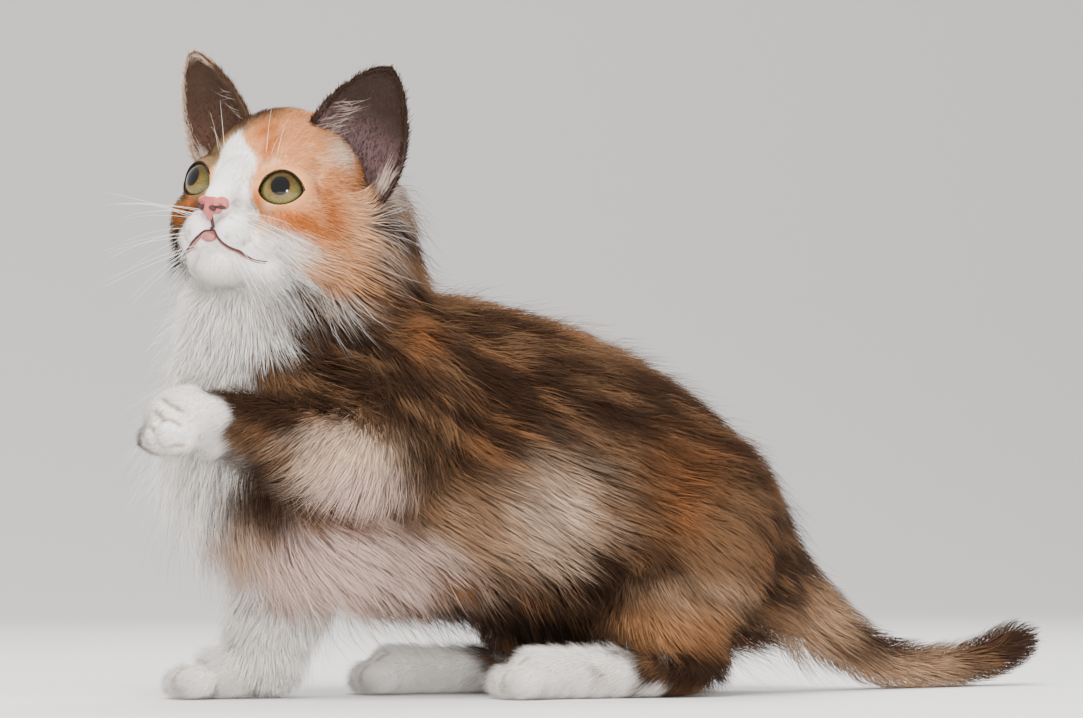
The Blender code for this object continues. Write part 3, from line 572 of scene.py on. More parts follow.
def boolean(obj, cutter, operation="DIFFERENCE"):
    cut = obj.modifiers.new("cut", "BOOLEAN")
    cut.operation = operation
    cut.solver = "MANIFOLD"
    cut.object = cutter
    bake(obj)
    bpy.data.objects.remove(cutter)


# %% The skin
SKIN_TRIANGLES = 170000
body_group = body_balls + tail_balls + thigh_balls + leg_balls + foot_balls
skin = blend("skin", [(body_group, Matrix()), (head_balls, HEAD)], VOXEL, 10, COAT_UNDER_SKIN)
print("skin faces before thinning:", len(skin.data.polygons))
thin(skin, SKIN_TRIANGLES)


# %% Sockets and the openings between the lids
LOWER_LID = 0.74  # height of the lower half of the opening, as a share of the upper half
SOCKET_ROOM = 0.25


def almond(angle):
    """A point on the edge of the opening: across, up."""
    across, up = math.cos(angle), math.sin(angle)
    height = EYE_OPENING[1] * (1.0 if up > 0 else LOWER_LID)
    return EYE_OPENING[0] * across, math.copysign(height * abs(up) ** 1.3, up)


def lid_matrix(side):
    return eye_matrix(side) @ Matrix.Rotation(math.radians(side * EYE_SLANT), 4, "X")


for side in (LEFT, RIGHT):
    shape = TO_FRAME @ eye_matrix(side) @ Matrix.Scale(EYE_RADIUS + SOCKET_ROOM, 4)
    boolean(skin, egg("socket", shape, 48, 24))
    bm = bmesh.new()
    bmesh.ops.create_cone(bm, cap_ends=True, segments=64, radius1=1, radius2=1, depth=16)
    for v in bm.verts:
        across, up = almond(math.atan2(v.co.y, v.co.x))
        v.co = (v.co.z + 10, across, up)
    bmesh.ops.transform(bm, matrix=TO_FRAME @ lid_matrix(side), verts=bm.verts)
    bmesh.ops.recalc_face_normals(bm, faces=bm.faces)
    boolean(skin, new_object("opening", bm))
skin.data.shade_smooth()
skin_tree = BVHTree.FromObject(skin, bpy.context.evaluated_depsgraph_get())
print("skin triangles:", len(skin.data.polygons))


# %% Places on the skin
def nearest_to(point):
    """The place on the skin nearest to a point of the head's frame, in that frame."""
    place = skin_tree.find_nearest(TO_FRAME @ HEAD @ Vector(point))[0]
    return HEAD.inverted() @ (place / MM - SHIFT)


def tree_of(points):
    """A search tree of points."""
    tree = KDTree(len(points))
    for i, point in enumerate(points):
        tree.insert(point, i)
    tree.balance()
    return tree

# %% [markdown]
# ## Nose, mouth line and lids
# The nose leather is a small cushion with two comma-shaped nostrils. It is blended from a few tiny balls at
# a fine voxel, so the wings flow into the tip, and a dark shell inside each nostril is painted shade in its
# pit.
# The lips and the dark edges of the lids are thin tubes laid on the skin, because a hairless edge shows as
# a narrow soft line between the hairs. The dark tube along the mouth line is painted shadow in the gap
# between the lips.


# %% Tubes laid along a path
def tube(name, points, radii, sides=8):
    """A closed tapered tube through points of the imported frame, each with a radius, both in metres."""
    bm = bmesh.new()
    before = None
    for i, (point, radius) in enumerate(zip(points, radii)):
        along = (points[min(i + 1, len(points) - 1)] - points[max(i - 1, 0)]).normalized()
        turn = along.to_track_quat("Z", "Y").to_matrix().to_4x4()
        where = Matrix.Translation(point) @ turn
        ring = bmesh.ops.create_circle(bm, segments=sides, radius=radius, matrix=where)
        edges = list(dict.fromkeys(e for v in ring["verts"] for e in v.link_edges))
        if before:
            bmesh.ops.bridge_loops(bm, edges=before + edges)
        before = edges
    bmesh.ops.holes_fill(bm, edges=[e for e in bm.edges if e.is_boundary], sides=0)
    bmesh.ops.recalc_face_normals(bm, faces=bm.faces)
    obj = new_object(name, bm)
    obj.data.shade_smooth()
    return obj


def join(name, objects):
    """Joins meshes into one object, without touching their surfaces."""
    bm = bmesh.new()
    for obj in objects:
        bm.from_mesh(obj.data)
        bpy.data.objects.remove(obj)
    joined = new_object(name, bm)
    joined.data.shade_smooth()
    return joined


# %% Nose leather
NOSE_MIDDLE = (  # place and radii of each ball
    ((36.5, 0, -6.2), (2.4, 4.0, 2.4)),
    ((37.0, 0, -8.8), (2.0, 2.2, 2.6)),
    ((36.1, 0, -11.2), (1.4, 1.1, 1.5)),
)
NOSE_WING = (
    ((35.4, 3.4, -5.9), (2.5, 2.5, 2.0)),
    ((36.2, 2.4, -8.3), (2.1, 2.0, 1.9)),
    ((35.0, 4.6, -6.9), (1.9, 1.4, 1.4)),
)
NOSTRILS = (((38.4, 2.3, -8.6), (2.6, 1.15, 1.05), 20), ((37.0, 4.0, -7.9), (2.6, 1.9, 0.55), -10))
NOSTRIL_SHADE_DEPTH = 0.55  # how far the shell of painted shade inside a nostril lies below its surface
NOSE_VOXEL = 0.28
nose_balls = [ball(place, radii, 0) for place, radii in NOSE_MIDDLE]
nose_balls += [ball(on_side(side, place), radii, 0) for side in (LEFT, RIGHT) for place, radii in NOSE_WING]
nose = blend("nose", [(nose_balls, HEAD)], NOSE_VOXEL, 6, 0.0)
# painted shade: a dark shell is set just inside each nostril, so its pit reads as shaded
nostril_shades = []
for side in (LEFT, RIGHT):
    for place, radii, roll in NOSTRILS:
        where = Matrix.Translation(on_side(side, place))
        where = TO_FRAME @ HEAD @ where @ Matrix.Rotation(math.radians(-side * roll), 4, "X")
        boolean(nose, egg("nostril", where @ Matrix.Diagonal((*radii, 1)), 20, 12))
        shade_shell = where @ Matrix.Translation((-NOSTRIL_SHADE_DEPTH, 0, 0)) @ Matrix.Diagonal((*radii, 1))
        nostril_shades.append(egg("nostril", shade_shell, 20, 12, 0.99))
nose.data.shade_smooth()
nostrils = join("nostrils", nostril_shades)
print("nose faces:", len(nose.data.polygons))

# %% Lips
MOUTH = [(39, 0, -12), (38, 0, -13.6), (36.6, 0, -16)]
LIPS = [
    (36.6, 0.0, -15.6), (35.0, 3.4, -17.8), (32.6, 7.0, -19.8), (28.0, 11.3, -21.4), (21.5, 15.0, -21.2),
]
LIP_DROP = Vector((0.0, 0.0, -1.1))  # the lower lip lies this far under the slit
LIP_MIDDLE = (34.6, 0, -18.2)
LIP_MIDDLE_RADII = (1.8, 2.8, 1.6)


def on_skin(points, sink=0.0):
    """Points of the head's frame moved onto the skin, and sunk into it."""
    places = []
    for p in points:
        place, normal = skin_tree.find_nearest(TO_FRAME @ HEAD @ Vector(p))[:2]
        places.append(place - normal * sink * MM)
    return places


def smoothed(places, rounds=6):
    """The same run of places with its kinks evened out."""
    for _ in range(rounds):
        inner = [(a + b * 2 + c) / 4 for a, b, c in zip(places, places[1:], places[2:])]
        places = [places[0], *inner, places[-1]]
    return places


def lip_tube(line, radius):
    """A tube whose radius grows from a thin end to the full one and tapers off again."""
    swell = [0.3 + 0.7 * math.sin(math.pi * (0.12 + 0.83 * i / len(line))) for i in range(len(line))]
    return tube("lip", line, [radius * MM * share for share in swell])


mirrored = [(f, -l, u) for f, l, u in LIPS]
lip_lines = [smoothed(on_skin(spline(line, 8), 0.05)) for line in (MOUTH, LIPS, mirrored)]
# painted shadow: dark tubes along the groove under the nose and the gap between the lips stand for the
# shade there
slit = join("mouth_slit", [lip_tube(line, 0.6) for line in lip_lines])
dropped = [[Vector(p) + LIP_DROP for p in spline(line, 8)] for line in (LIPS, mirrored)]
lower = [smoothed(on_skin(line, 0.2)) for line in dropped]
lip_pieces = [lip_tube(line, 0.75) for line in lower]
middle = Matrix.Translation(LIP_MIDDLE) @ Matrix.Diagonal((*LIP_MIDDLE_RADII, 1))
lip_pieces.append(egg("lip", TO_FRAME @ HEAD @ middle, 24, 12))
lips = join("lips", lip_pieces)

# %% Lid edges
LID_EDGE = 0.38
lid_edges = []
for side in (LEFT, RIGHT):
    rim = []
    for i in range(65):
        across, up = almond(2 * math.pi * i / 64)
        out = math.sqrt(max((EYE_RADIUS + LID_THICKNESS) ** 2 - across**2 - up**2, 1.0))
        rim.append(TO_FRAME @ lid_matrix(side) @ Vector((out - 0.25, across * 0.99, up * 0.99)))
    lid_edges.append(tube("lid", rim, [LID_EDGE * MM * (1.25 if i < 33 else 0.9) for i in range(len(rim))]))
lids = join("lid_edges", lid_edges)
print("lips and lids:", len(lips.data.polygons), len(lids.data.polygons))

# %% [markdown]
# ## Eyes
# A kitten's eye is a wet ball with a clear dome over the iris. The ball is a sphere whose poles lie along
# its sight, with the front raised a little. Each point keeps its place across and up the eye as an
# attribute, and
# the iris is painted from that: fibres run out from the pupil, the edge is dark, and its top is darkened as
# painted shade from the upper lid.

# %% Eyeballs
CORNEA_RISE = 0.9
IRIS = 0.84  # of the ball's radius
PUPIL = 0.32
LOOK_UP = 8.0  # degrees above the middle of the opening


def eyeball(name, side):
    bm = bmesh.new()
    turn = Matrix.Rotation(math.radians(90), 4, "Y")
    bmesh.ops.create_uvsphere(bm, u_segments=64, v_segments=48, radius=1, matrix=turn)
    place = bm.verts.layers.float_vector.new("eye_place")
    for v in bm.verts:
        v[place] = (v.co.y, v.co.z, v.co.x)
        width = math.hypot(v.co.y, v.co.z)
        dome = max(0.0, 1 - (width / IRIS) ** 2) ** 1.5 if v.co.x > 0 else 0.0
        v.co *= EYE_RADIUS + CORNEA_RISE * dome
    look = TO_FRAME @ eye_matrix(side) @ Matrix.Rotation(math.radians(-LOOK_UP), 4, "Y")
    bmesh.ops.transform(bm, matrix=look, verts=bm.verts)
    bmesh.ops.recalc_face_normals(bm, faces=bm.faces)
    obj = new_object(name, bm)
    obj.data.shade_smooth()
    return obj


def eye_finish(name):
    eye = Finish(name, roughness=0.08, coat_weight=0.5, coat_roughness=0.02, ior=1.36)
    where = eye.painted("eye_place", "Vector")
    flat = eye.vectors("MULTIPLY", where, (1, 1, 0))
    width = eye.vectors("LENGTH", flat, output="Value")
    rays = eye.mottle(eye.vectors("ADD", eye.vectors("NORMALIZE", flat), flat), 9.0, 4.0)
    iris = eye.ramp(width + (rays - 0.5) * 0.10, [
        (0.30, (0.13, 0.070, 0.014)), (0.46, (0.15, 0.105, 0.020)), (0.60, (0.115, 0.105, 0.026)),
        (0.74, (0.055, 0.050, 0.015)), (0.84, (0.008, 0.006, 0.004)),
    ])
    fibres = eye.ramp(rays, [(0.30, (0.55, 0.55, 0.55)), (0.70, (1.35, 1.35, 1.35))])
    iris = eye.mix(1.0, iris, fibres, "MULTIPLY")
    # painted shade: the iris is darkened towards its top, as under the shadow of the upper lid
    lit_below_lid = soft_step(eye.height_in(where), 0.35, -0.40)
    iris = eye.mix(lit_below_lid, eye.mix(1.0, iris, (0.28, 0.26, 0.24, 1), "MULTIPLY"), iris)
    inside = soft_step(width, PUPIL + 0.025, PUPIL - 0.015)
    eye.wear(base_color=eye.mix(inside, iris, (0.001, 0.001, 0.001, 1)))
    return eye.material


def finished(obj, material, slot, *nodes):
    """Gives a piece its finish and the body it rides on; the slot is not used."""
    obj.data.materials.clear()
    obj.data.materials.append(material)
    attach(obj, "root")
    if nodes:
        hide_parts(*nodes)


wet_eye = eye_finish("wet_eye")
for side, word in SIDES:
    finished(eyeball(f"eyeball_{word}", side), wet_eye, "eyes", f"eye_{word}")

# %% [markdown]
# ## Ears
# An ear is a thin cupped leaf that stands on the head and opens forwards and outwards. A grid is bent into
# that leaf and given a wall. Its inner face stays nearly bare, so its skin shows veins and a pink-grey
# flush, while the back is furred like the head.

# %% Ear leaves
EAR_BASE = (-4.0, 24.5, 15.0)
EAR_TIP = (5.9, 41.2, 49.7)
EAR_OPENS = (0.9, 0.42, 0.1)
EAR_HALF_WIDTH = 16.5
EAR_DEPTH = 10.0
EAR_WALL = 1.2


def ear_point(side, t, s):
    """A point of the leaf: t across from -1 to 1, s up from 0 to 1; and the way it opens."""
    base, tip, opens = (on_side(side, place) for place in (EAR_BASE, EAR_TIP, EAR_OPENS))
    rise = tip - base
    opens = (opens - opens.project(rise)).normalized()
    across = opens.cross(rise).normalized()
    half = EAR_HALF_WIDTH * max(1 - s**2.2, 0.0) ** 0.60 * (0.92 + 0.20 * math.sin(math.pi * s))
    cup = EAR_DEPTH * (1 - 0.9 * s) * (1 - t * t)
    return base + rise * (s * 1.18 - 0.18) + across * (half + 0.4) * t - opens * cup, opens


def ear(name, side):
    bm = bmesh.new()
    bmesh.ops.create_grid(bm, x_segments=36, y_segments=36, size=1)
    inner = bm.verts.layers.float_vector.new("ear_place")
    for v in bm.verts:
        t, s = v.co.x, (v.co.y + 1) / 2
        v[inner] = (t, s, 0)
        v.co = ear_point(side, t, s)[0]
    bmesh.ops.transform(bm, matrix=TO_FRAME @ HEAD, verts=bm.verts)
    obj = new_object(name, bm)
    wall = obj.modifiers.new("wall", "SOLIDIFY")
    wall.thickness = EAR_WALL * MM
    wall.offset = 0
    bake(obj)
    bm = bmesh.new()
    bm.from_mesh(obj.data)
    bmesh.ops.recalc_face_normals(bm, faces=bm.faces)
    bm.to_mesh(obj.data)
    bm.free()
    obj.data.shade_smooth()
    return obj


EAR_SKIN = {  # low in the cup, then near the tip
    LEFT: ((0.105, 0.066, 0.068), (0.020, 0.011, 0.008)),
    RIGHT: ((0.070, 0.034, 0.020), (0.036, 0.018, 0.011)),
}
for side, word in SIDES:
    ear_skin = Finish(f"ear_skin_{word}", roughness=0.7, specular_ior_level=0.25, subsurface_weight=0.1,
                      subsurface_scale=0.002)
    ear_where = ear_skin.place()
    veins = ear_skin.mottle(ear_where, 160.0, 5.0)
    fine = ear_skin.mottle(ear_where, 1500.0, 2.0)
    upward = ear_skin.height_in(ear_skin.painted("ear_place", "Vector"))
    low, high = ((*shade, 1) for shade in EAR_SKIN[side])
    flush = ear_skin.mix(soft_step(upward + (veins - 0.5) * 0.3, 0.30, 0.72), low, high)
    shading = ear_skin.ramp(veins, [(0.35, (0.86, 0.83, 0.83)), (0.65, (1.1, 1.08, 1.08))])
    ear_skin.wear(
        base_color=ear_skin.mix(1.0, flush, shading, "MULTIPLY"),
        normal=ear_skin.bump(fine, 0.3, 0.0002),
    )
    finished(ear(f"ear_leaf_{word}", side), ear_skin.material, "ear_skin", f"ear_{word}")

# %% [markdown]
# ## Where the whiskers root
# The whiskers of a kitten stand in four rows on each side of the muzzle, and each row shows as a line of
# small dark dots between the white hairs. Their roots are placed first, so the coat can be marked there.

# %% Whisker roots
# Each row: how far up, how far forward, and the number of whiskers in it.
WHISKER_ROWS = ((-10.5, 30.0, 4), (-13.0, 31.0, 5), (-15.8, 31.0, 5), (-18.2, 30.0, 4))
whisker_roots = []  # side, number in its row, place in the head's frame
for side in (LEFT, RIGHT):
    for up, forward, number in WHISKER_ROWS:
        for i in range(number):
            start = (forward - i * 2.6, side * (6.5 + i * 1.9), up - i * 0.4)
            whisker_roots.append((side, i, nearest_to(start)))
print("whisker roots:", len(whisker_roots))

# %% [markdown]
# ## Creases between the toes
# A paw shows three short furrows between its four toes, and little else. They are runs of places on the
# skin: hair keeps off them, is short beside them, and is painted darker in them as the shade in a furrow.

# %% Toe creases
PAWS = ((-113, 12, 8, 15), (-12, -31, 8, 10), (-45, 29, 8, 10))  # middle, and how far the toes reach
CREASE = ((0, -5), (-3, 0), (2, 7), (8, 9))  # back from the paw's front, up from its middle
RAISED_CREASES = (  # on the raised paw the furrows run from its front edge back over its side
    ((-150, -36, 105), (-147, -40, 101), (-144, -44, 99)),
    ((-152, -36, 99), (-149, -41, 95), (-145, -44, 93)),
    ((-151, -35, 92), (-148, -41, 89), (-144, -43, 88)),
)


def body_places(points):
    """Places on the skin nearest to points of the body's frame, in that frame."""
    found = (skin_tree.find_nearest(TO_FRAME @ Vector(p))[0] for p in points)
    return [place / MM - SHIFT for place in found]


creases = [body_places(spline(line, 8)) for line in RAISED_CREASES]
for x, y, z, reach in PAWS:
    for gap in (-1, 0, 1):
        line = [(x - reach - 4 + back, y + gap * TOE_SPACING, z + up) for back, up in CREASE]
        creases.append(body_places(spline(line, 6)))
crease_tree = tree_of([place for line in creases for place in line])


def crease_gap(points):
    """How far points of the body's frame are from the nearest crease, at most 9 mm."""
    gaps = np.full(len(points), 9.0)
    on_paw = (points[:, 2] < 22) & (points[:, 0] < -10) | (points[:, 0] < -122) & (points[:, 2] < 120)
    gaps[on_paw] = [min(crease_tree.find(p)[2], 9.0) for p in points[on_paw]]
    return gaps


print("creases:", len(creases))

# %% [markdown]
# ## Markings
# The coat is white with patches of orange and dark brown. Each patch is one row of a table: a soft-edged
# ellipsoid in the body's or the head's frame, whose edge noise makes ragged. Two brown rows under the left
# arm are painted shade, not markings. The skin and every tuft ask the same function for their colour, so a
# patch runs through both.

# %% Colours
COLOURS = {
    "white": (0.88, 0.84, 0.80),
    "apricot": (0.63, 0.275, 0.112),
    "pale": (0.74, 0.46, 0.28),
    "orange": (0.46, 0.14, 0.034),
    "honey": (0.44, 0.215, 0.095),
    "rust": (0.21, 0.086, 0.033),
    "cream": (0.72, 0.54, 0.40),
    "blush": (0.68, 0.50, 0.43),
    "fawn": (0.56, 0.41, 0.30),
    "sand": (0.40, 0.25, 0.15),
    "tan": (0.20, 0.108, 0.055),
    "brown": (0.036, 0.018, 0.010),
    "olive": (0.17, 0.105, 0.050),
}

# %% Patches of the body: colour, centre, radii, softness of the edge
BODY_PATCHES = [
    ("tan", (-10, 0, 66), (80, 60, 20), 0.8),
    ("sand", (-30, 0, 58), (46, 60, 18), 0.8),
    ("fawn", (-9.5, -40, 64), (22, 24, 22), 0.9),
    ("fawn", (-4, 40, 64), (26, 24, 20), 0.9),
    ("brown", (13, -30, 42), (11, 24, 18), 0.6),
    ("rust", (40, -44, 74), (17, 26, 22), 0.9),
    ("tan", (54, -44, 56), (16, 26, 22), 0.9),
    ("sand", (44, -46, 36), (22, 20, 9), 0.7),
    ("honey", (36, -46, 25), (24, 22, 8), 0.9),
    ("rust", (42, 44, 60), (22, 26, 24), 0.9),
    ("honey", (26, 46, 28), (24, 22, 8), 0.9),
    ("rust", (-58, -36, 126), (7, 14, 13), 0.9),
    ("brown", (-16, 0, 30), (42, 40, 8), 0.4),
    ("blush", (-84, -12, 46), (52, 44, 20), 0.4),
    ("white", (-128, 0, 88), (20, 40, 44), 0.35),
    ("white", (-118, -6, 130), (26, 30, 26), 0.35),
    ("white", (-108, -38, 150), (15, 20, 12), 0.5),
    # painted shade: this brown row darkens the chest under the left arm, where the arm's shadow falls
    ("brown", (-114, -30, 68), (24, 20, 12), 0.5),
    ("white", (-114, 12, 12), (44, 26, 34), 0.25),
    ("blush", (-92, 18, 44), (16, 20, 14), 0.5),
    ("sand", (-116, -14, 50), (10, 16, 15), 0.9),
    ("brown", (44, -36, 8), (19, 22, 9), 0.35),
    ("brown", (14, 34, 10), (20, 22, 11), 0.35),
    ("white", (-18, -31, 4), (44, 24, 20), 0.2),
    ("white", (-52, 29, 6), (42, 24, 20), 0.25),
    ("sand", (104, 0, 26), (22, 22, 17), 0.7),
    ("sand", (146, 12, 6), (44, 22, 9), 0.7),
    ("brown", (150, 14, 20), (50, 22, 7), 0.9),
    ("brown", (208, 33, 18), (18, 16, 16), 0.7),
]
ARM_PATCHES = [
    ("brown", (-114, -36, 104), (26, 24, 14), 0.5),
    ("tan", (-74, -50, 94), (18, 20, 12), 0.9),
    ("cream", (-86, -50, 82), (25, 20, 13), 0.7),
    ("blush", (-82, -46, 71), (24, 20, 9), 0.6),
    # painted shade: this brown row darkens the underside of the left arm, in the same shadow
    ("brown", (-119, -36, 73), (19, 24, 8), 0.5),
    ("white", (-144, -31, 92), (18, 22, 22), 0.2),
]
HEAD_PATCHES = [
    ("olive", (-4, -38, 8), (60, 34, 60), 0.12),
    ("brown", (6, -10, 34), (22, 15, 12), 0.5),
    ("orange", (24, -20, -9), (12, 9, 6), 0.6),
    ("brown", (4, -36, -22), (26, 16, 22), 0.6),
    ("brown", (14, -22, 22), (20, 10, 10), 0.7),
    ("pale", (14, 30, -20), (18, 14, 6), 0.8),
    ("white", (18, 20, -17), (14, 9, 7), 0.7),
    ("orange", (21, 9.5, -1.5), (8, 3.5, 3.5), 0.8),
    ("orange", (20, 9, 17), (9, 2.6, 8), 0.7),
    ("orange", (16, 3, 23), (10, 4, 5), 0.7),
    ("orange", (20, 21, -7), (10, 9, 3.0), 0.7),
    ("orange", (8, 28, -3), (4, 8, 9), 0.8),
    ("orange", (14, 26, -9), (10, 9, 2.2), 0.8),
    ("pale", (-12, 40, -4), (14, 14, 22), 0.9),
    ("white", (-26, 38, -2), (13, 16, 26), 0.6),
    ("cream", (-2, 23, 20), (7, 8, 7), 0.7),
]
BLAZE = [  # up, then how far the white reaches to the right and to the left of the middle
    (23, 7, -7), (20, 8, -4), (17, 9.5, 0), (13, 10.5, 4.5), (9, 10, 6.2), (4, 8.5, 7.2), (0, 9, 8.2),
    (-5, 12, 9.6), (-10, 16, 12.5), (-16, 22, 17), (-22, 26, 22), (-30, 34, 30),
]
print(len(BODY_PATCHES) + len(ARM_PATCHES) + len(HEAD_PATCHES), "patches")

# %% The colour at a place
def smooth(x, low, high):
    """0 below low, 1 above high, smooth between, for arrays."""
    t = np.clip((x - low) / (high - low), 0, 1)
    return t * t * (3 - 2 * t)


def ragged(points, scale, seed):
    """Noise between about -1 and 1 at each point, on lumps of this size in millimetres."""
    drift = Vector((seed * 17.3, seed * 5.1, seed * 9.7))
    return np.array([noise.noise(Vector(p) / scale + drift) for p in points])


def lay(colours, share, name, grain):
    """Lays a colour over the others; grain, one number for each hair, mingles hairs of both colours."""
    share = np.clip(share + (grain - 0.5) * 1.4 * share * (1 - share), 0, 1)
    colours += share[:, None] * (np.array(COLOURS[name]) - colours)


def paint_patches(colours, points, patches, within, rough, grain):
    """Lays a table of patches over the colours, in its order."""
    for i, (name, centre, radii, soft) in enumerate(patches):
        away = length_of((points - centre) / radii) + rough[i % len(rough)] * 0.32
        lay(colours, (1 - smooth(away, 1 - soft, 1 + soft * 0.5)) * within, name, grain)


def coat_colours(points, head_share, arm_share, grain):
    """The colour of the coat at each point of the body's frame."""
    count = len(points)
    rough = [ragged(points, 9.0, seed) for seed in (1, 2, 3)]
    streaks = ragged(points @ STREAK_STRETCH, 1.0, 4) + 0.5 * ragged(points @ STREAK_STRETCH * 2.1, 1.0, 5)
    colours = np.tile(COLOURS["brown"], (count, 1)).astype(float)
    lay(colours, smooth(streaks, -0.15, 0.55) * 0.85, "tan", grain)
    warm = smooth(ragged(points, 30.0, 6), 0.0, 0.5) * smooth(streaks, -0.2, 0.5)
    lay(colours, warm * 0.6, "rust", grain)
    broken = [r + 0.8 * streaks for r in rough]
    paint_patches(colours, points, BODY_PATCHES, 1 - arm_share * 0.8, broken, grain)
    dark = smooth(streaks, 0.1, -0.5) * (points[:, 0] > -70) * (points[:, 2] > 30)
    lay(colours, dark * 0.55, "brown", grain)
    paint_patches(colours, points, ARM_PATCHES, arm_share, rough, grain)
    local = carried(points, HEAD.inverted())
    face = np.tile(COLOURS["apricot"], (count, 1)).astype(float)
    lay(face, smooth(ragged(local, 6.0, 8), 0.1, 0.6) * 0.5, "pale", grain)
    paint_patches(face, local, HEAD_PATCHES, 1.0, rough, grain)
    tabby = smooth(ragged(local * (0.25, 0.16, 0.25), 1.0, 9), 0.0, 0.3) * smooth(-local[:, 1], 10, 15)
    lay(face, tabby * 0.7, "brown", grain)
    blaze_up, to_right, to_left = zip(*BLAZE[::-1])
    reach_right = np.interp(local[:, 2], blaze_up, to_right)
    reach_left = np.interp(local[:, 2], blaze_up, to_left)
    inside = np.minimum(local[:, 1] + reach_right, reach_left - local[:, 1]) + rough[0] * 1.6
    white = smooth(inside, -1.0, 1.2) * smooth(local[:, 0], -22, -8) * (1 - smooth(local[:, 2], 22, 26))
    under = smooth(-local[:, 2] + rough[1] * 3, 25, 31)
    lay(face, np.maximum(white, under * smooth(local[:, 0], -30, -10)), "white", grain)
    back_of_crown = local[:, 0] + 0.25 * local[:, 1] - 14 * smooth(local[:, 2], 5, 20) + rough[2] * 4
    hidden = 1 - smooth(back_of_crown, -38, -26)
    lay(face, hidden, "brown", grain)
    colours += head_share[:, None] * (face - colours)
    # painted shade: the coat is darkened along the toe creases, where the furrows lie in shade
    crease = np.exp(-(crease_gap(points) / 0.9) ** 2)
    lay(colours, crease * 0.85, "tan", grain)
    for _, _, root in whisker_roots:
        dot = np.exp(-(length_of(local - np.array(root)) / 0.7) ** 2)
        lay(colours, dot * 0.8, "tan", grain)
    return colours


lie_back = Vector((1.0, 0.0, -0.5)).normalized()
STREAK_STRETCH = np.array([
    [lie_back.x / 38, 0, -lie_back.z / 8],
    [0, 1 / 11, 0],
    [lie_back.z / 38, 0, lie_back.x / 8],
])

# %% [markdown]
# ## How the coat lies
# Hair isn't spread evenly: it is short on the face and feet, long on the chest and flanks, and it flows
# away from the nose, back over the body and down. Every point on the skin asks the balls near it for their
# coat depth and lie, weighted by how near they are, so lengths and directions change smoothly.

# %% Depth and lie of the coat at a place
NOSE_TIP = (38.0, 0.0, -7.0)
REACH_OF_BALL = 2.6
EAR_TUFT = (-8.0, 35.0, 4.0)  # hair at the foot of the ear stands up before it


def coat_field(points):
    """Coat depth, lie, share of head and share of left arm at each point of the body's frame."""
    local = carried(points, HEAD.inverted())
    parts = [(body_group, points), (head_balls, local)]
    gaps, depths, lies, heads, arms = [], [], [], [], []
    for balls, where in parts:
        for b in balls:
            radii = np.array(b["radii"])
            gaps.append((length_of((where - b["centre"]) / radii) - 1) * radii.mean())
            depths.append(b["coat"])
            lies.append(b["lie"] if balls is body_group else (0, 0, 0))
            heads.append(balls is head_balls)
            arms.append(balls is body_group and b["centre"].y < -28 and b["centre"].x < -70)
    gaps = np.array(gaps)
    weights = np.exp(-(gaps - gaps.min(axis=0)) / REACH_OF_BALL)
    weights /= weights.sum(axis=0)
    depth = weights.T @ np.array(depths)
    head_share = weights.T @ np.array(heads, float)
    arm_share = weights.T @ np.array(arms, float)
    lie = weights.T @ np.array([tuple(v) for v in lies])
    hangs = smooth(-points[:, 2], -58, -40) * smooth(-points[:, 0], -40, 10) * (points[:, 2] > 24)
    lie += hangs[:, None] * np.array((-0.5, 0, -0.9))
    away = unit(local - NOSE_TIP)
    cheek = smooth(np.abs(local[:, 1]), 11, 20) * smooth(-local[:, 0], -26, -8)
    away[:, 2] *= 1 - 0.6 * cheek
    back = smooth(-local[:, 0], -10, 15)[:, None]
    away += back * np.array((-0.6, 0, -0.2))
    for side in (LEFT, RIGHT):
        from_eye = local - (EYE_PLACE[0] + 8, side * (EYE_PLACE[1] + 3), EYE_PLACE[2])
        reach = length_of(from_eye)
        push = (1 - smooth(reach, 8, 14))[:, None]
        away += push * 1.6 * from_eye / np.maximum(reach, 1)[:, None]
        foot = length_of(local - on_side(side, EAR_TUFT))
        near_ear = 1 - smooth(foot, 5, 10)
        away += near_ear[:, None] * np.array((0.2, side * 0.3, 2.6))
        depth += near_ear * 2
    lie += head_share[:, None] * turned(away, HEAD)
    return depth, lie, head_share, arm_share

# %% Colour the skin
def all_of(items, key, width, kind=float):
    """One row of numbers for each item of a mesh."""
    values = np.empty(len(items) * width, dtype=kind)
    items.foreach_get(key, values)
    return values.reshape(-1, width)


def mesh_arrays(obj):
    """Vertices and their normals, and triangles, as arrays."""
    mesh = obj.data
    mesh.calc_loop_triangles()
    spots = all_of(mesh.vertices, "co", 3)
    return spots, all_of(mesh.vertices, "normal", 3), all_of(mesh.loop_triangles, "vertices", 3, int)


def store_colours(mesh, colours):
    layer = mesh.color_attributes.new("coat", "FLOAT_COLOR", "POINT")
    opaque = np.hstack([colours, np.ones((len(colours), 1))])
    layer.data.foreach_set("color", opaque.astype(np.float32).ravel())


skin_spots, skin_normals, skin_faces = mesh_arrays(skin)
skin_body = in_body(skin_spots)
fields = [coat_field(chunk) for chunk in np.array_split(skin_body, 12)]
skin_depth, skin_lie, skin_head, skin_arm = (np.concatenate(part) for part in zip(*fields))
skin_colours = coat_colours(skin_body, skin_head, skin_arm, np.full(len(skin_body), 0.5))
store_colours(skin.data, skin_colours)

under_fur = Finish("under_fur", roughness=0.9, specular_ior_level=0.2)
under_where = under_fur.place()
down = under_fur.mottle(under_where, 1400.0, 3.0)
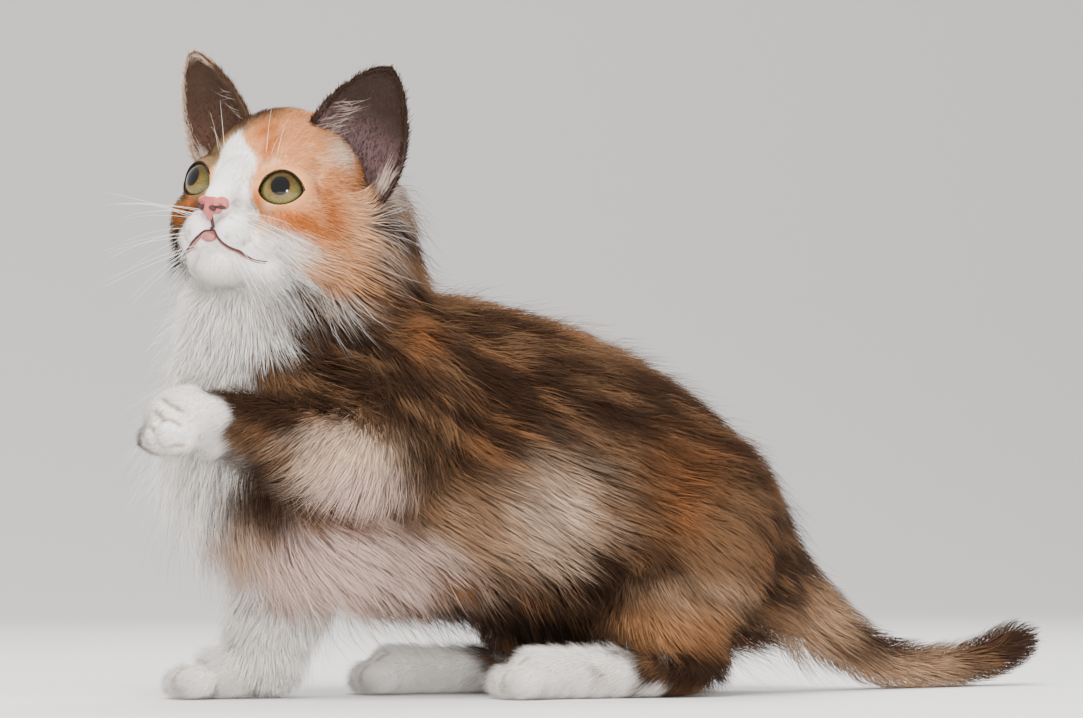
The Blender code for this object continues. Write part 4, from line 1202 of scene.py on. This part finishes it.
# painted shade: the skin under the fur is darkened where the fine bump dips, as shade between the hairs
deep = under_fur.mix(1.0, under_fur.painted("coat"), (0.84, 0.82, 0.80, 1), "MULTIPLY")
under_fur.wear(
    base_color=under_fur.mix(down, deep, under_fur.painted("coat")),
    normal=under_fur.bump(down, 0.6, 0.0004),
)
flesh_nodes = [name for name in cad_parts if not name.startswith(("eye", "ear"))]
finished(skin, under_fur.material, "cream_fur", *flesh_nodes)
print("coat depth:", round(float(skin_depth.min()), 1), "to", round(float(skin_depth.max()), 1), "mm")

# %% [markdown]
# ## Tufts
# Fur is tens of thousands of thin tufts, each a closed three-sided needle of a few triangles. They are
# worked out together as arrays and joined into a few meshes. A root is drawn at random from the skin,
# closer where the hair is short. The tuft then bends along the lie and keeps near the surface, and long
# tufts lean together at their tips into the wisps of a kitten's coat.

# %% A flat copy of the skin for the tufts' baking map
flat_copy = in_scene("flat_copy", skin.data.copy())
thin(flat_copy, 9000)
for other in bpy.context.selected_objects:
    other.select_set(False)
bpy.context.view_layer.objects.active = flat_copy
flat_copy.select_set(True)
bpy.ops.object.mode_set(mode="EDIT")
bpy.ops.mesh.select_all(action="SELECT")
bpy.ops.uv.smart_project(angle_limit=math.radians(66), island_margin=0.002)
bpy.ops.object.mode_set(mode="OBJECT")
flat_spots, _, flat_faces = mesh_arrays(flat_copy)
flat_uv = all_of(flat_copy.data.uv_layers.active.data, "uv", 2)
flat_corner_uv = flat_uv[all_of(flat_copy.data.loop_triangles, "loops", 3, int)]
flat_tree = BVHTree.FromPolygons([Vector(v) for v in flat_spots], [tuple(f) for f in flat_faces])
bpy.data.objects.remove(flat_copy)


def place_on_map(points):
    """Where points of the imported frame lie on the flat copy's map."""
    found = np.array([flat_tree.find_nearest(Vector(p))[2] for p in points])
    a, b, c = (flat_spots[flat_faces[found, i]] for i in range(3))
    whole = length_of(np.cross(b - a, c - a)) + 1e-15
    share_b = length_of(np.cross(points - a, c - a)) / whole
    share_c = length_of(np.cross(b - a, points - a)) / whole
    total = np.maximum(share_b + share_c, 1.0)
    share_b, share_c = share_b / total, share_c / total
    uv = flat_corner_uv[found]
    return uv[:, 0] + share_b[:, None] * (uv[:, 1] - uv[:, 0]) + share_c[:, None] * (uv[:, 2] - uv[:, 0])


print("map of", len(flat_faces), "faces")

# %% Needles along paths
PATCH = 0.003  # size of a tuft on the baking map
OVER_FLOOR = 0.00005
RING_WIDTHS = {2: (1.0, 0.0), 3: (0.8, 1.0, 0.0)}
FLATNESS = 0.5


def needles(name, paths, widths, normals, colours, uv, material, slot, sides=3, taper=None):
    """Joined closed needles; paths is hairs x rings x 3 in metres, and colours have one row a ring."""
    count, rings = paths.shape[:2]
    shape = taper or RING_WIDTHS[rings]
    step = np.gradient(paths, axis=1)
    step /= np.linalg.norm(step, axis=2)[:, :, None] + 1e-12
    aside = np.cross(step, normals[:, None, :])
    aside /= np.linalg.norm(aside, axis=2)[:, :, None] + 1e-12
    upward = np.cross(aside, step)
    each = (rings - 1) * sides + 1
    verts = np.empty((count, each, 3))
    tones = np.empty((count, each, 3))
    maps = np.empty((count, each, 2))
    for ring in range(rings - 1):
        half = widths * shape[ring] / 2
        for k in range(sides):
            angle = 2 * math.pi * k / sides + math.pi / 2
            j = ring * sides + k
            verts[:, j] = (paths[:, ring] + aside[:, ring] * (math.cos(angle) * half)[:, None]
                           + upward[:, ring] * (math.sin(angle) * half * FLATNESS)[:, None])
            tones[:, j] = colours[ring]
            maps[:, j] = uv + PATCH * np.array((k / (sides - 1) - 0.5, ring / (rings - 1) - 0.5))
    verts[:, -1] = paths[:, -1]
    verts[:, :, 2] = np.maximum(verts[:, :, 2], OVER_FLOOR)
    tones[:, -1] = colours[-1]
    maps[:, -1] = uv + PATCH * np.array((0, 0.5))
    one = [(0, k, k + 1) for k in range(1, sides - 1)]
    for ring in range(rings - 2):
        for k in range(sides):
            a, b = ring * sides + k, ring * sides + (k + 1) % sides
            one += [(a, a + sides, b), (b, a + sides, b + sides)]
    last = (rings - 2) * sides
    one += [(last + k, each - 1, last + (k + 1) % sides) for k in range(sides)]
    triangles = (np.array(one)[None] + (np.arange(count) * each)[:, None, None]).reshape(-1)
    mesh = bpy.data.meshes.new(name)
    mesh.vertices.add(count * each)
    mesh.vertices.foreach_set("co", verts.ravel())
    mesh.loops.add(len(triangles))
    mesh.loops.foreach_set("vertex_index", triangles)
    mesh.polygons.add(len(triangles) // 3)
    mesh.polygons.foreach_set("loop_start", np.arange(0, len(triangles), 3))
    mesh.update(calc_edges=True)
    mesh.shade_smooth()
    store_colours(mesh, np.clip(tones.reshape(-1, 3), 0, 0.95))
    layer = mesh.uv_layers.new(name="OFBake")
    layer.data.foreach_set("uv", maps.reshape(-1, 2)[triangles].ravel())
    finished(in_scene(name, mesh), material, slot)
    return len(triangles) // 3

# %% The fur's finish
fur = Finish("fur", roughness=0.7, specular_ior_level=0.12)
strand = fur.mottle(fur.place(), 420.0, 3.0)
tint = fur.ramp(strand, [(0.3, (0.92, 0.91, 0.90)), (0.7, (1.0, 1.0, 1.0))])
fur.wear(base_color=fur.mix(1.0, fur.painted("coat"), tint, "MULTIPLY"), roughness=0.6 + strand * 0.15)

# %% Roots on the skin
draw = np.random.default_rng(7)
LONG = 3.4  # coat depth from which a tuft is bent
COVER = (4.0, 5.0)  # how many tufts lie over each spot of short and of long coat


def tuft_length(depth):
    return 1.9 * depth + 1.3


def tuft_width(depth):
    return 0.19 + 0.0095 * depth


face_depth = skin_depth[skin_faces].mean(axis=1)
edges = skin_spots[skin_faces]
face_area = length_of(np.cross(edges[:, 1] - edges[:, 0], edges[:, 2] - edges[:, 0])) / 2 / MM**2
cover = COVER[0] + (COVER[1] - COVER[0]) * smooth(face_depth, 2, 6)
cover *= 1 + 0.45 * skin_head[skin_faces].mean(axis=1)
face_hairs = face_area * cover / (tuft_length(face_depth) * tuft_width(face_depth))
running = np.cumsum(face_hairs)
HAIRS = int(running[-1])
picked = np.searchsorted(running, (np.arange(HAIRS) + draw.random(HAIRS)) * running[-1] / HAIRS)
picked = np.minimum(picked, len(skin_faces) - 1)
r1, r2 = np.sqrt(draw.random(HAIRS)), draw.random(HAIRS)
bary = np.stack([1 - r1, r1 * (1 - r2), r1 * r2], axis=1)


def at_roots(values):
    return np.einsum("ij,ij...->i...", bary, values[skin_faces[picked]])


roots = at_roots(skin_spots)
normals = unit(at_roots(skin_normals))
depth = at_roots(skin_depth)
lie = at_roots(skin_lie)
head_part = at_roots(skin_head)
arm_part = at_roots(skin_arm)
body_roots = in_body(roots)
local = carried(body_roots, HEAD.inverted())
print("hairs:", HAIRS, "skin area:", round(face_area.sum() / 100), "cm2")

# %% Bare places
NOSE_MIDST, NOSE_RADII = (36.0, 0, -7.8), (4.4, 6.4, 5.0)
on_face = head_part > 0.5
mouth_gap = np.full(HAIRS, 9.0)
mouth = tree_of([p for line in lip_lines + lower for p in line])
mouth_gap[on_face] = [min(mouth.find(p)[2] / MM, 9.0) for p in roots[on_face]]
nose_gap = length_of((local - NOSE_MIDST) / NOSE_RADII)
eye_gap = np.full(HAIRS, 20.0)
inside_socket = np.zeros(HAIRS, bool)
for side in (LEFT, RIGHT):
    seen = carried(roots, (TO_FRAME @ lid_matrix(side)).inverted())
    height = EYE_OPENING[1] * np.where(seen[:, 2] > 0, 1.0, LOWER_LID)
    edge = np.hypot(seen[:, 1] / EYE_OPENING[0], seen[:, 2] / height)
    eye_gap = np.where((seen[:, 0] > 0) & on_face, np.minimum(eye_gap, (edge - 1) * 7), eye_gap)
    inside_socket |= length_of(seen) < EYE_RADIUS + 0.6
toe_gap = crease_gap(body_roots)
keep = (mouth_gap > 0.5) & (nose_gap > 1.0) & (eye_gap > 0.35) & (toe_gap > 0.3)
keep &= ~inside_socket & (body_roots[:, 2] > 0.6)
shorter = 0.2 + 0.8 * smooth(mouth_gap, 0.7, 5.0)
shorter *= 0.35 + 0.65 * smooth(eye_gap, 0.3, 4.0)
shorter *= 0.30 + 0.70 * smooth(nose_gap, 1.0, 2.1)
shorter *= 0.45 + 0.55 * smooth(toe_gap, 0.3, 4.0)
roots, normals, depth, lie, head_part, arm_part, shorter, local = (
    values[keep] for values in (roots, normals, depth, lie, head_part, arm_part, shorter, local))
count = len(roots)
print("kept:", count)

# %% Paths of the tufts
GUARD_HAIRS = 0.12  # share of the long hairs that stand out from the coat
long_coat = smooth(depth, 3.5, 7.0)
length = tuft_length(depth) * shorter * draw.uniform(0.6, 1.15, count)
guard = (draw.random(count) < GUARD_HAIRS) & (depth > LONG)
length = np.where(guard, length * 1.25, length)
width = tuft_width(depth) * np.where(guard, 0.6, 1.0) * draw.uniform(0.75, 1.2, count)
along = lie - np.einsum("ij,ij->i", lie, normals)[:, None] * normals
along = unit(along, 1e-9)
body_now = in_body(roots)
swirl = np.stack([ragged(body_now, 13.0, seed) for seed in (11, 12, 13)], axis=1)
along += draw.normal(0, 0.06, (count, 3)) + swirl * (0.12 + 0.25 * long_coat)[:, None]
along -= np.einsum("ij,ij->i", along, normals)[:, None] * normals
along = unit(along)
under_belly = long_coat * np.maximum(-normals[:, 2], 0) * (body_now[:, 2] > 24)
on_head = head_part > 0.5
face = on_head * (1 - smooth(depth, 5, 9))
chest = long_coat * smooth(-body_now[:, 0], 110, 128) * ~on_head
tail = body_now[:, 0] > 90
feet = (body_now[:, 2] < 20) & (body_now[:, 0] < 84)
length *= 1 - 0.36 * on_head - 0.08 * on_head * long_coat + 0.35 * under_belly + 0.45 * feet
width *= 1 - 0.2 * on_head
rise = depth * shorter * draw.uniform(0.45, 1.05, count)
rise *= 1 + 0.9 * under_belly + 0.7 * chest + 0.45 * feet - 0.2 * tail - 0.2 * on_head - 0.3 * face
rise = np.where(guard & ~on_head, rise * np.where(tail, 1.1, 1.75), rise)


def hug(points, heights, share):
    """Moves points part of the way to where they would stand at these heights over the skin."""
    moved = points.copy()
    for i in np.nonzero(depth > LONG)[0]:
        place, normal = skin_tree.find_nearest(Vector(points[i]))[:2]
        target = place + normal * heights[i] * MM
        moved[i] += (np.array(target) - points[i]) * share[i]
    return moved


half = roots + (along * (length * 0.5)[:, None] + normals * (rise * 0.7)[:, None]) * MM
tips = roots + (along * length[:, None] + normals * rise[:, None]) * MM
share = 0.75 - 0.55 * np.clip(under_belly * 1.5 + chest, 0, 1)
half = hug(half, rise * 0.7, share)
tips = hug(tips, rise, share)
print("bent tufts:", int((depth > LONG).sum()))

# %% Wisps
WISP_EVERY = 15
WISP_PULL = 0.55
WISP_REACH = 9
ROOT_DEPTH = 0.3
centres = np.arange(0, count, WISP_EVERY)
wisps = tree_of(roots[centres])
leader = np.arange(count)
for i in np.nonzero(depth > LONG)[0]:
    leader[i] = centres[wisps.find(roots[i])[1]]
pull = (long_coat * WISP_PULL * (1 - 0.6 * on_head) * draw.uniform(0.4, 1.2, count))[:, None]
toward = tips[leader] - tips
close = length_of(toward) < WISP_REACH * MM
tips = np.where(close[:, None], tips + toward * pull, tips)
half = np.where(close[:, None], half + (half[leader] - half) * pull * 0.3, half)
sunk = roots - normals * ROOT_DEPTH * MM

# %% Join the tufts into pieces
SEEN_AT = 0.45  # share of a tuft's length at which its colour is taken
seen_at = in_body(roots + (tips - roots) * SEEN_AT)
seen_at += draw.normal(0, 1, (count, 3)) * (0.25 + 0.10 * depth)[:, None]
colours = coat_colours(seen_at, head_part, arm_part, draw.random(count))
tone = draw.normal(1.0, 0.06, count)[:, None]
warm = draw.normal(0.0, 0.025, (count, 1)) * np.array((1.0, 0.2, -1.0))
colours = np.clip(colours * tone * (1 + warm), 0.004, 0.92)
light = colours @ np.array((0.3, 0.6, 0.1))
dark_hair = 1 - smooth(light, 0.05, 0.2)
# Painted shade and light along each tuft: the root is darkened as the shade deep in the coat, less for pale
# hair, and the tip is lit a little more. Dark hairs also get tips of their own tone, mostly paler.
tip_colours = colours * (1.03 + dark_hair * draw.uniform(-0.1, 0.4, count))[:, None]
shaded_root_colours = colours * (0.86 + 0.12 * smooth(light, 0.1, 0.6))[:, None]
uv = place_on_map(roots)
regions = {
    "head": (on_head, "head_fur"),
    "tail": (body_now[:, 0] > 84, "tan_fur"),
    "feet": (body_now[:, 2] < 20, "white_fur"),
    "forepaw": ((body_now[:, 0] < -122) & (body_now[:, 2] < 115), "white_fur"),
    "thighs": ((body_now[:, 0] > 20) & (body_now[:, 2] < 80), "orange_fur"),
    "chest": (body_now[:, 0] < -70, "cream_fur"),
    "torso": (body_now[:, 0] < 999, "dark_fur"),
}
PIECE_LIMIT = 190000  # triangles
KINDS = (  # name, which tufts, triangles of each, then places and colours of its rings
    ("long", depth > LONG, 10, (sunk, half, tips), (shaded_root_colours, colours, tip_colours)),
    ("short", depth <= LONG, 4, (sunk, tips), (shaded_root_colours, tip_colours)),
)
free = np.ones(count, bool)
total = 0
for region, (where, slot) in regions.items():
    chosen = where & free
    free &= ~chosen
    for kind, chosen_kind, each, rings, ring_colours in KINDS:
        members = np.nonzero(chosen & chosen_kind)[0]
        pieces = max(1, math.ceil(len(members) * each / PIECE_LIMIT))
        members = members[np.argsort(body_now[members, 1])]
        for i, group in enumerate(np.array_split(members, pieces)):
            if len(group) == 0:
                continue
            paths = np.stack([ring[group] for ring in rings], axis=1)
            shades = [tones[group] for tones in ring_colours]
            name = f"fur_{region}_{kind}_{i + 1}"
            total += needles(name, paths, width[group] * MM, normals[group], shades, uv[group],
                             fur.material, slot)
print("fur triangles:", total)

# %% [markdown]
# ## Bare skin of nose, lips and lids
# These are the only hairless places: the nose leather is pink and finely pebbled, the lips darker and
# moist, the lid edges almost black.

# %% Finishes of the bare skin
nose_skin = Finish("nose_leather", roughness=0.5, coat_weight=0.08, coat_roughness=0.4,
                   subsurface_weight=0.1, subsurface_scale=0.001)
nose_where = nose_skin.place()
pebbles = nose_skin.add("ShaderNodeTexVoronoi", {}, {"Vector": nose_where, "Scale": 2200.0}, "Distance")
blotch = nose_skin.mottle(nose_where, 420.0, 3.0)
nose_skin.wear(
    base_color=nose_skin.ramp(blotch, [(0.3, (0.36, 0.080, 0.075)), (0.7, (0.48, 0.13, 0.12))]),
    normal=nose_skin.bump(pebbles, 0.4, 0.0002),
)
finished(nose, nose_skin.material, "head_fur")


def bare(name, dark, light, scale, **constants):
    """A moist hairless skin, mottled between two colours."""
    finish = Finish(name, **constants)
    patches = finish.mottle(finish.place(), scale, 3.0)
    finish.wear(base_color=finish.ramp(patches, [(0.3, dark), (0.7, light)]),
                normal=finish.bump(patches, 0.3, 0.0002))
    return finish.material


# painted shade: the dark finish of the mouth's gap and of the shells inside the nostrils
painted_gap_shade = bare("mouth_slit", (0.030, 0.012, 0.011), (0.060, 0.024, 0.021), 900.0, roughness=0.7)
lip_skin = bare("lip_skin", (0.29, 0.085, 0.080), (0.41, 0.15, 0.14), 900.0, roughness=0.5,
                coat_weight=0.1, coat_roughness=0.3)
lid_skin = bare("lid_skin", (0.008, 0.005, 0.004), (0.022, 0.012, 0.009), 1400.0, roughness=0.75,
                specular_ior_level=0.15)
finished(slit, painted_gap_shade, "head_fur")
finished(nostrils, painted_gap_shade, "head_fur")
finished(lips, lip_skin, "head_fur")
finished(lids, lid_skin, "head_fur")

# %% [markdown]
# ## Ear fur
# The back of an ear is covered with short hair that runs from the base to the tip, and fine pale hairs
# stand along its rim. Long pale hairs spring from the front edge and sweep across the opening.


# %% Hairs of the ears
def ear_roots(side, t, s):
    """Places on the leaf and the ways up it, out of its opening and across it."""
    rows = []
    for a, b in zip(t, s):
        here, opens = ear_point(side, a, b)
        there = ear_point(side, a, min(b + 0.03, 1.0))[0]
        beside = ear_point(side, min(a + 0.03, 1.0), b)[0] - ear_point(side, max(a - 0.03, -1.0), b)[0]
        out = beside.cross(there - here)
        out = out if out.dot(opens) > 0 else -out
        ways = [way.normalized() for way in (there - here, out, beside)]
        rows.append([tuple(v) for v in (here, *ways)])
    return np.array(rows).transpose(1, 0, 2)


def half_way(start, end, out, rise):
    return (start + end) / 2 + out * rise


EAR_BACK = {LEFT: (0.050, 0.027, 0.016), RIGHT: (0.07, 0.042, 0.025)}
EAR_RIM = {LEFT: (0.036, 0.020, 0.013), RIGHT: (0.46, 0.34, 0.26)}
EAR_INSIDE = {LEFT: (0.060, 0.037, 0.031), RIGHT: (0.075, 0.040, 0.025)}
PALE_HAIR = (0.44, 0.345, 0.29)
FACE_HAIRS = ((-1, 5200, 4.4, EAR_BACK), (1, 2600, 2.2, EAR_INSIDE))  # side of the leaf, number, length
RIM_HAIRS = 2000
FRINGE_HAIRS = {LEFT: 90, RIGHT: 30}
FOOT_HAIRS = 160


def rim_shades(side, t, s, share, shades):
    """Colours of hairs towards the ear's rim; the far ear's rim is pale on its outer edge and tip alone."""
    rim = np.tile(EAR_RIM[side], (len(t), 1))
    if side == RIGHT:
        outer = np.clip(smooth(-t * side, -0.1, 0.3) + smooth(s, 0.75, 0.9), 0, 1)[:, None]
        rim = np.array(EAR_BACK[side]) + outer * (rim - np.array(EAR_BACK[side]))
    return shades + np.clip(share, 0, 1) * (rim - shades)


for side, word in SIDES:
    sheets = []
    for face, number, size, shade in FACE_HAIRS:
        t, s = draw.uniform(-1, 1, number), draw.uniform(0.03, 0.99, number)
        here, rising, outward, beside = ear_roots(side, t, s)
        scale = (draw.uniform(0.6, 1.1, number) * (1 - 0.45 * s) * size)[:, None]
        flow = rising + beside * (t * 0.35)[:, None] + draw.normal(0, 0.12, (number, 3))
        start = here + outward * face * EAR_WALL * 0.4
        end = start + flow * scale + outward * face * scale * 0.2
        rim = smooth(np.abs(t), 0.86, 0.97)[:, None] + smooth(s, 0.90, 0.98)[:, None]
        shades = rim_shades(side, t, s, rim, np.tile(shade[side], (number, 1)))
        out = outward * face
        sheets.append((start, half_way(start, end, out, 0.12), end, out, shades, 0.26))
    rims = RIM_HAIRS
    t = draw.choice((-1, 1), rims) * draw.uniform(0.90, 1.0, rims)
    s = draw.uniform(0.02, 0.99, rims)
    here, rising, outward, beside = ear_roots(side, t, s)
    face = draw.choice((-1, 1), rims)[:, None]
    size = draw.uniform(2.0, 4.2, rims)[:, None]
    start = here + outward * face * EAR_WALL * 0.4
    end = start + (rising * 0.9 + beside * t[:, None] * 0.35 + outward * face * 0.15
                   + draw.normal(0, 0.22, (rims, 3))) * size
    sheets.append((start, half_way(start, end, outward * face, 0.1), end, outward,
                   rim_shades(side, t, s, np.ones((rims, 1)), np.tile(EAR_RIM[side], (rims, 1))), 0.26))
    fringe = FRINGE_HAIRS[side]
    front = side * np.ones(fringe)
    t, s = front * draw.uniform(0.6, 1.0, fringe), draw.uniform(0.0, 0.6, fringe)
    here, rising, outward, beside = ear_roots(side, t, s)
    reach = draw.uniform(5, 14, fringe)[:, None]
    inward = -beside * front[:, None]
    start = here + outward * EAR_WALL * 0.5
    middle = start + (rising * 0.45 + inward * 0.4 + outward * 0.3) * reach * 0.5
    end = start + (rising * 0.7 + inward * 0.7 + outward * 0.2) * reach + draw.normal(0, 1.6, (fringe, 3))
    sheets.append((start, middle, end, outward, np.tile(PALE_HAIR, (fringe, 1)), 0.14))
    tuft = FOOT_HAIRS
    t, s = -side * draw.uniform(0.70, 0.98, tuft), draw.uniform(0.0, 0.14, tuft)
    here, rising, outward, beside = ear_roots(side, t, s)
    reach = draw.uniform(7, 15, tuft)[:, None]
    end = here + (rising + outward * 0.12 + draw.normal(0, 0.10, (tuft, 3))) * reach
    shades = np.tile(PALE_HAIR, (tuft, 1))
    sheets.append((here, half_way(here, end, outward, 0.5), end, outward, shades, 0.24))
    start, middle, end, outward, shades = (np.concatenate([sheet[i] for sheet in sheets]) for i in range(5))
    widths = np.concatenate([np.full(len(sheet[0]), sheet[5]) for sheet in sheets])
    shades = np.clip(shades * draw.normal(1, 0.10, (len(shades), 1)), 0.005, 0.9)
    paths = np.stack([start, middle, end], axis=1).reshape(-1, 3)
    paths = carried(paths, TO_FRAME @ HEAD).reshape(-1, 3, 3)
    # painted shade and light along each ear hair: darker at the root, lighter at the tip
    tones = [shades * 0.75, shades, shades * 1.1]
    needles(f"fur_ear_{word}", paths, widths * MM, turned(outward, HEAD), tones,
            place_on_map(paths[:, 0]), fur.material, "ear_skin")

# %% [markdown]
# ## Whiskers
# Whiskers are stiff tapered hairs far longer than the coat, in four rows on each side of the muzzle and a
# few over each eye. Each follows a gentle arc outwards and droops a little towards its tip.

# %% Whiskers
whisker_finish = Finish("whisker", roughness=0.35, coat_weight=0.2, coat_roughness=0.2)
pith = whisker_finish.mottle(whisker_finish.place(), 300.0)
whisker_finish.wear(base_color=whisker_finish.mix(pith, (0.80, 0.78, 0.74, 1), (0.90, 0.88, 0.85, 1)))
WHISKER_RINGS = 10
ROOM = 0.0095  # whiskers stay this far past the solids' box at most, in metres
REACH = {LEFT: (27, 33), RIGHT: (42, 56)}
BROW_WHISKERS = (((25, 9.5, 15), 24, 0.10), ((24, 11.5, 14.5), 17, 0.34), ((23, 13.5, 15), 21, 0.22))
box_low, box_high = (np.array(corner) for corner in CAD_BOX)


def whisker(start, direction, reach, droop):
    """Points of one whisker in the head's frame."""
    share = np.linspace(0, 1, WHISKER_RINGS)[:, None]
    direction = np.array(direction) / np.linalg.norm(direction)
    return np.array(start) + direction * share * reach + np.array((-0.5, 0, -1.0)) * share**2 * droop


def shortened(path):
    """The path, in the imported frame, cut back until it lies inside the solids' box and its room."""
    path = carried(path, TO_FRAME @ HEAD)
    for _ in range(30):
        if ((path > box_low - ROOM) & (path < box_high + ROOM)).all():
            break
        path = path[0] + (path - path[0]) * 0.95
    return path


whisker_paths, whisker_widths = [], []
for side, i, root in whisker_roots:
    forward = (0.16 if side == LEFT else 0.10) - 0.14 * i + draw.normal(0, 0.07)
    upward = -0.28 + (root.z + 14.0) * 0.05 + draw.normal(0, 0.10)
    reach = draw.uniform(*REACH[side]) * (1 - 0.04 * i) * draw.uniform(0.75, 1.0)
    upward = upward if side == LEFT else upward + 0.25
    path = whisker(root, (forward, side, upward), reach, draw.uniform(2, 8))
    whisker_paths.append(shortened(path))
    whisker_widths.append(draw.uniform(0.24, 0.36))
for side in (LEFT, RIGHT):
    for place, reach, lean in BROW_WHISKERS:
        root = nearest_to(on_side(side, place))
        path = whisker(root, (0.35, side * lean, 1.0), reach, 5 + 8 * lean)
        whisker_paths.append(shortened(path))
        whisker_widths.append(0.13)
paths = np.array(whisker_paths)
number = len(paths)
needles("whiskers", paths, np.array(whisker_widths) * MM, np.tile((0.0, 0.0, 1.0), (number, 1)),
        [np.tile((0.85, 0.83, 0.80), (number, 1))] * WHISKER_RINGS, place_on_map(paths[:, 0]),
        whisker_finish.material, "white_fur", sides=5, taper=list(np.linspace(1, 0.25, WHISKER_RINGS)))
print("whiskers:", number)
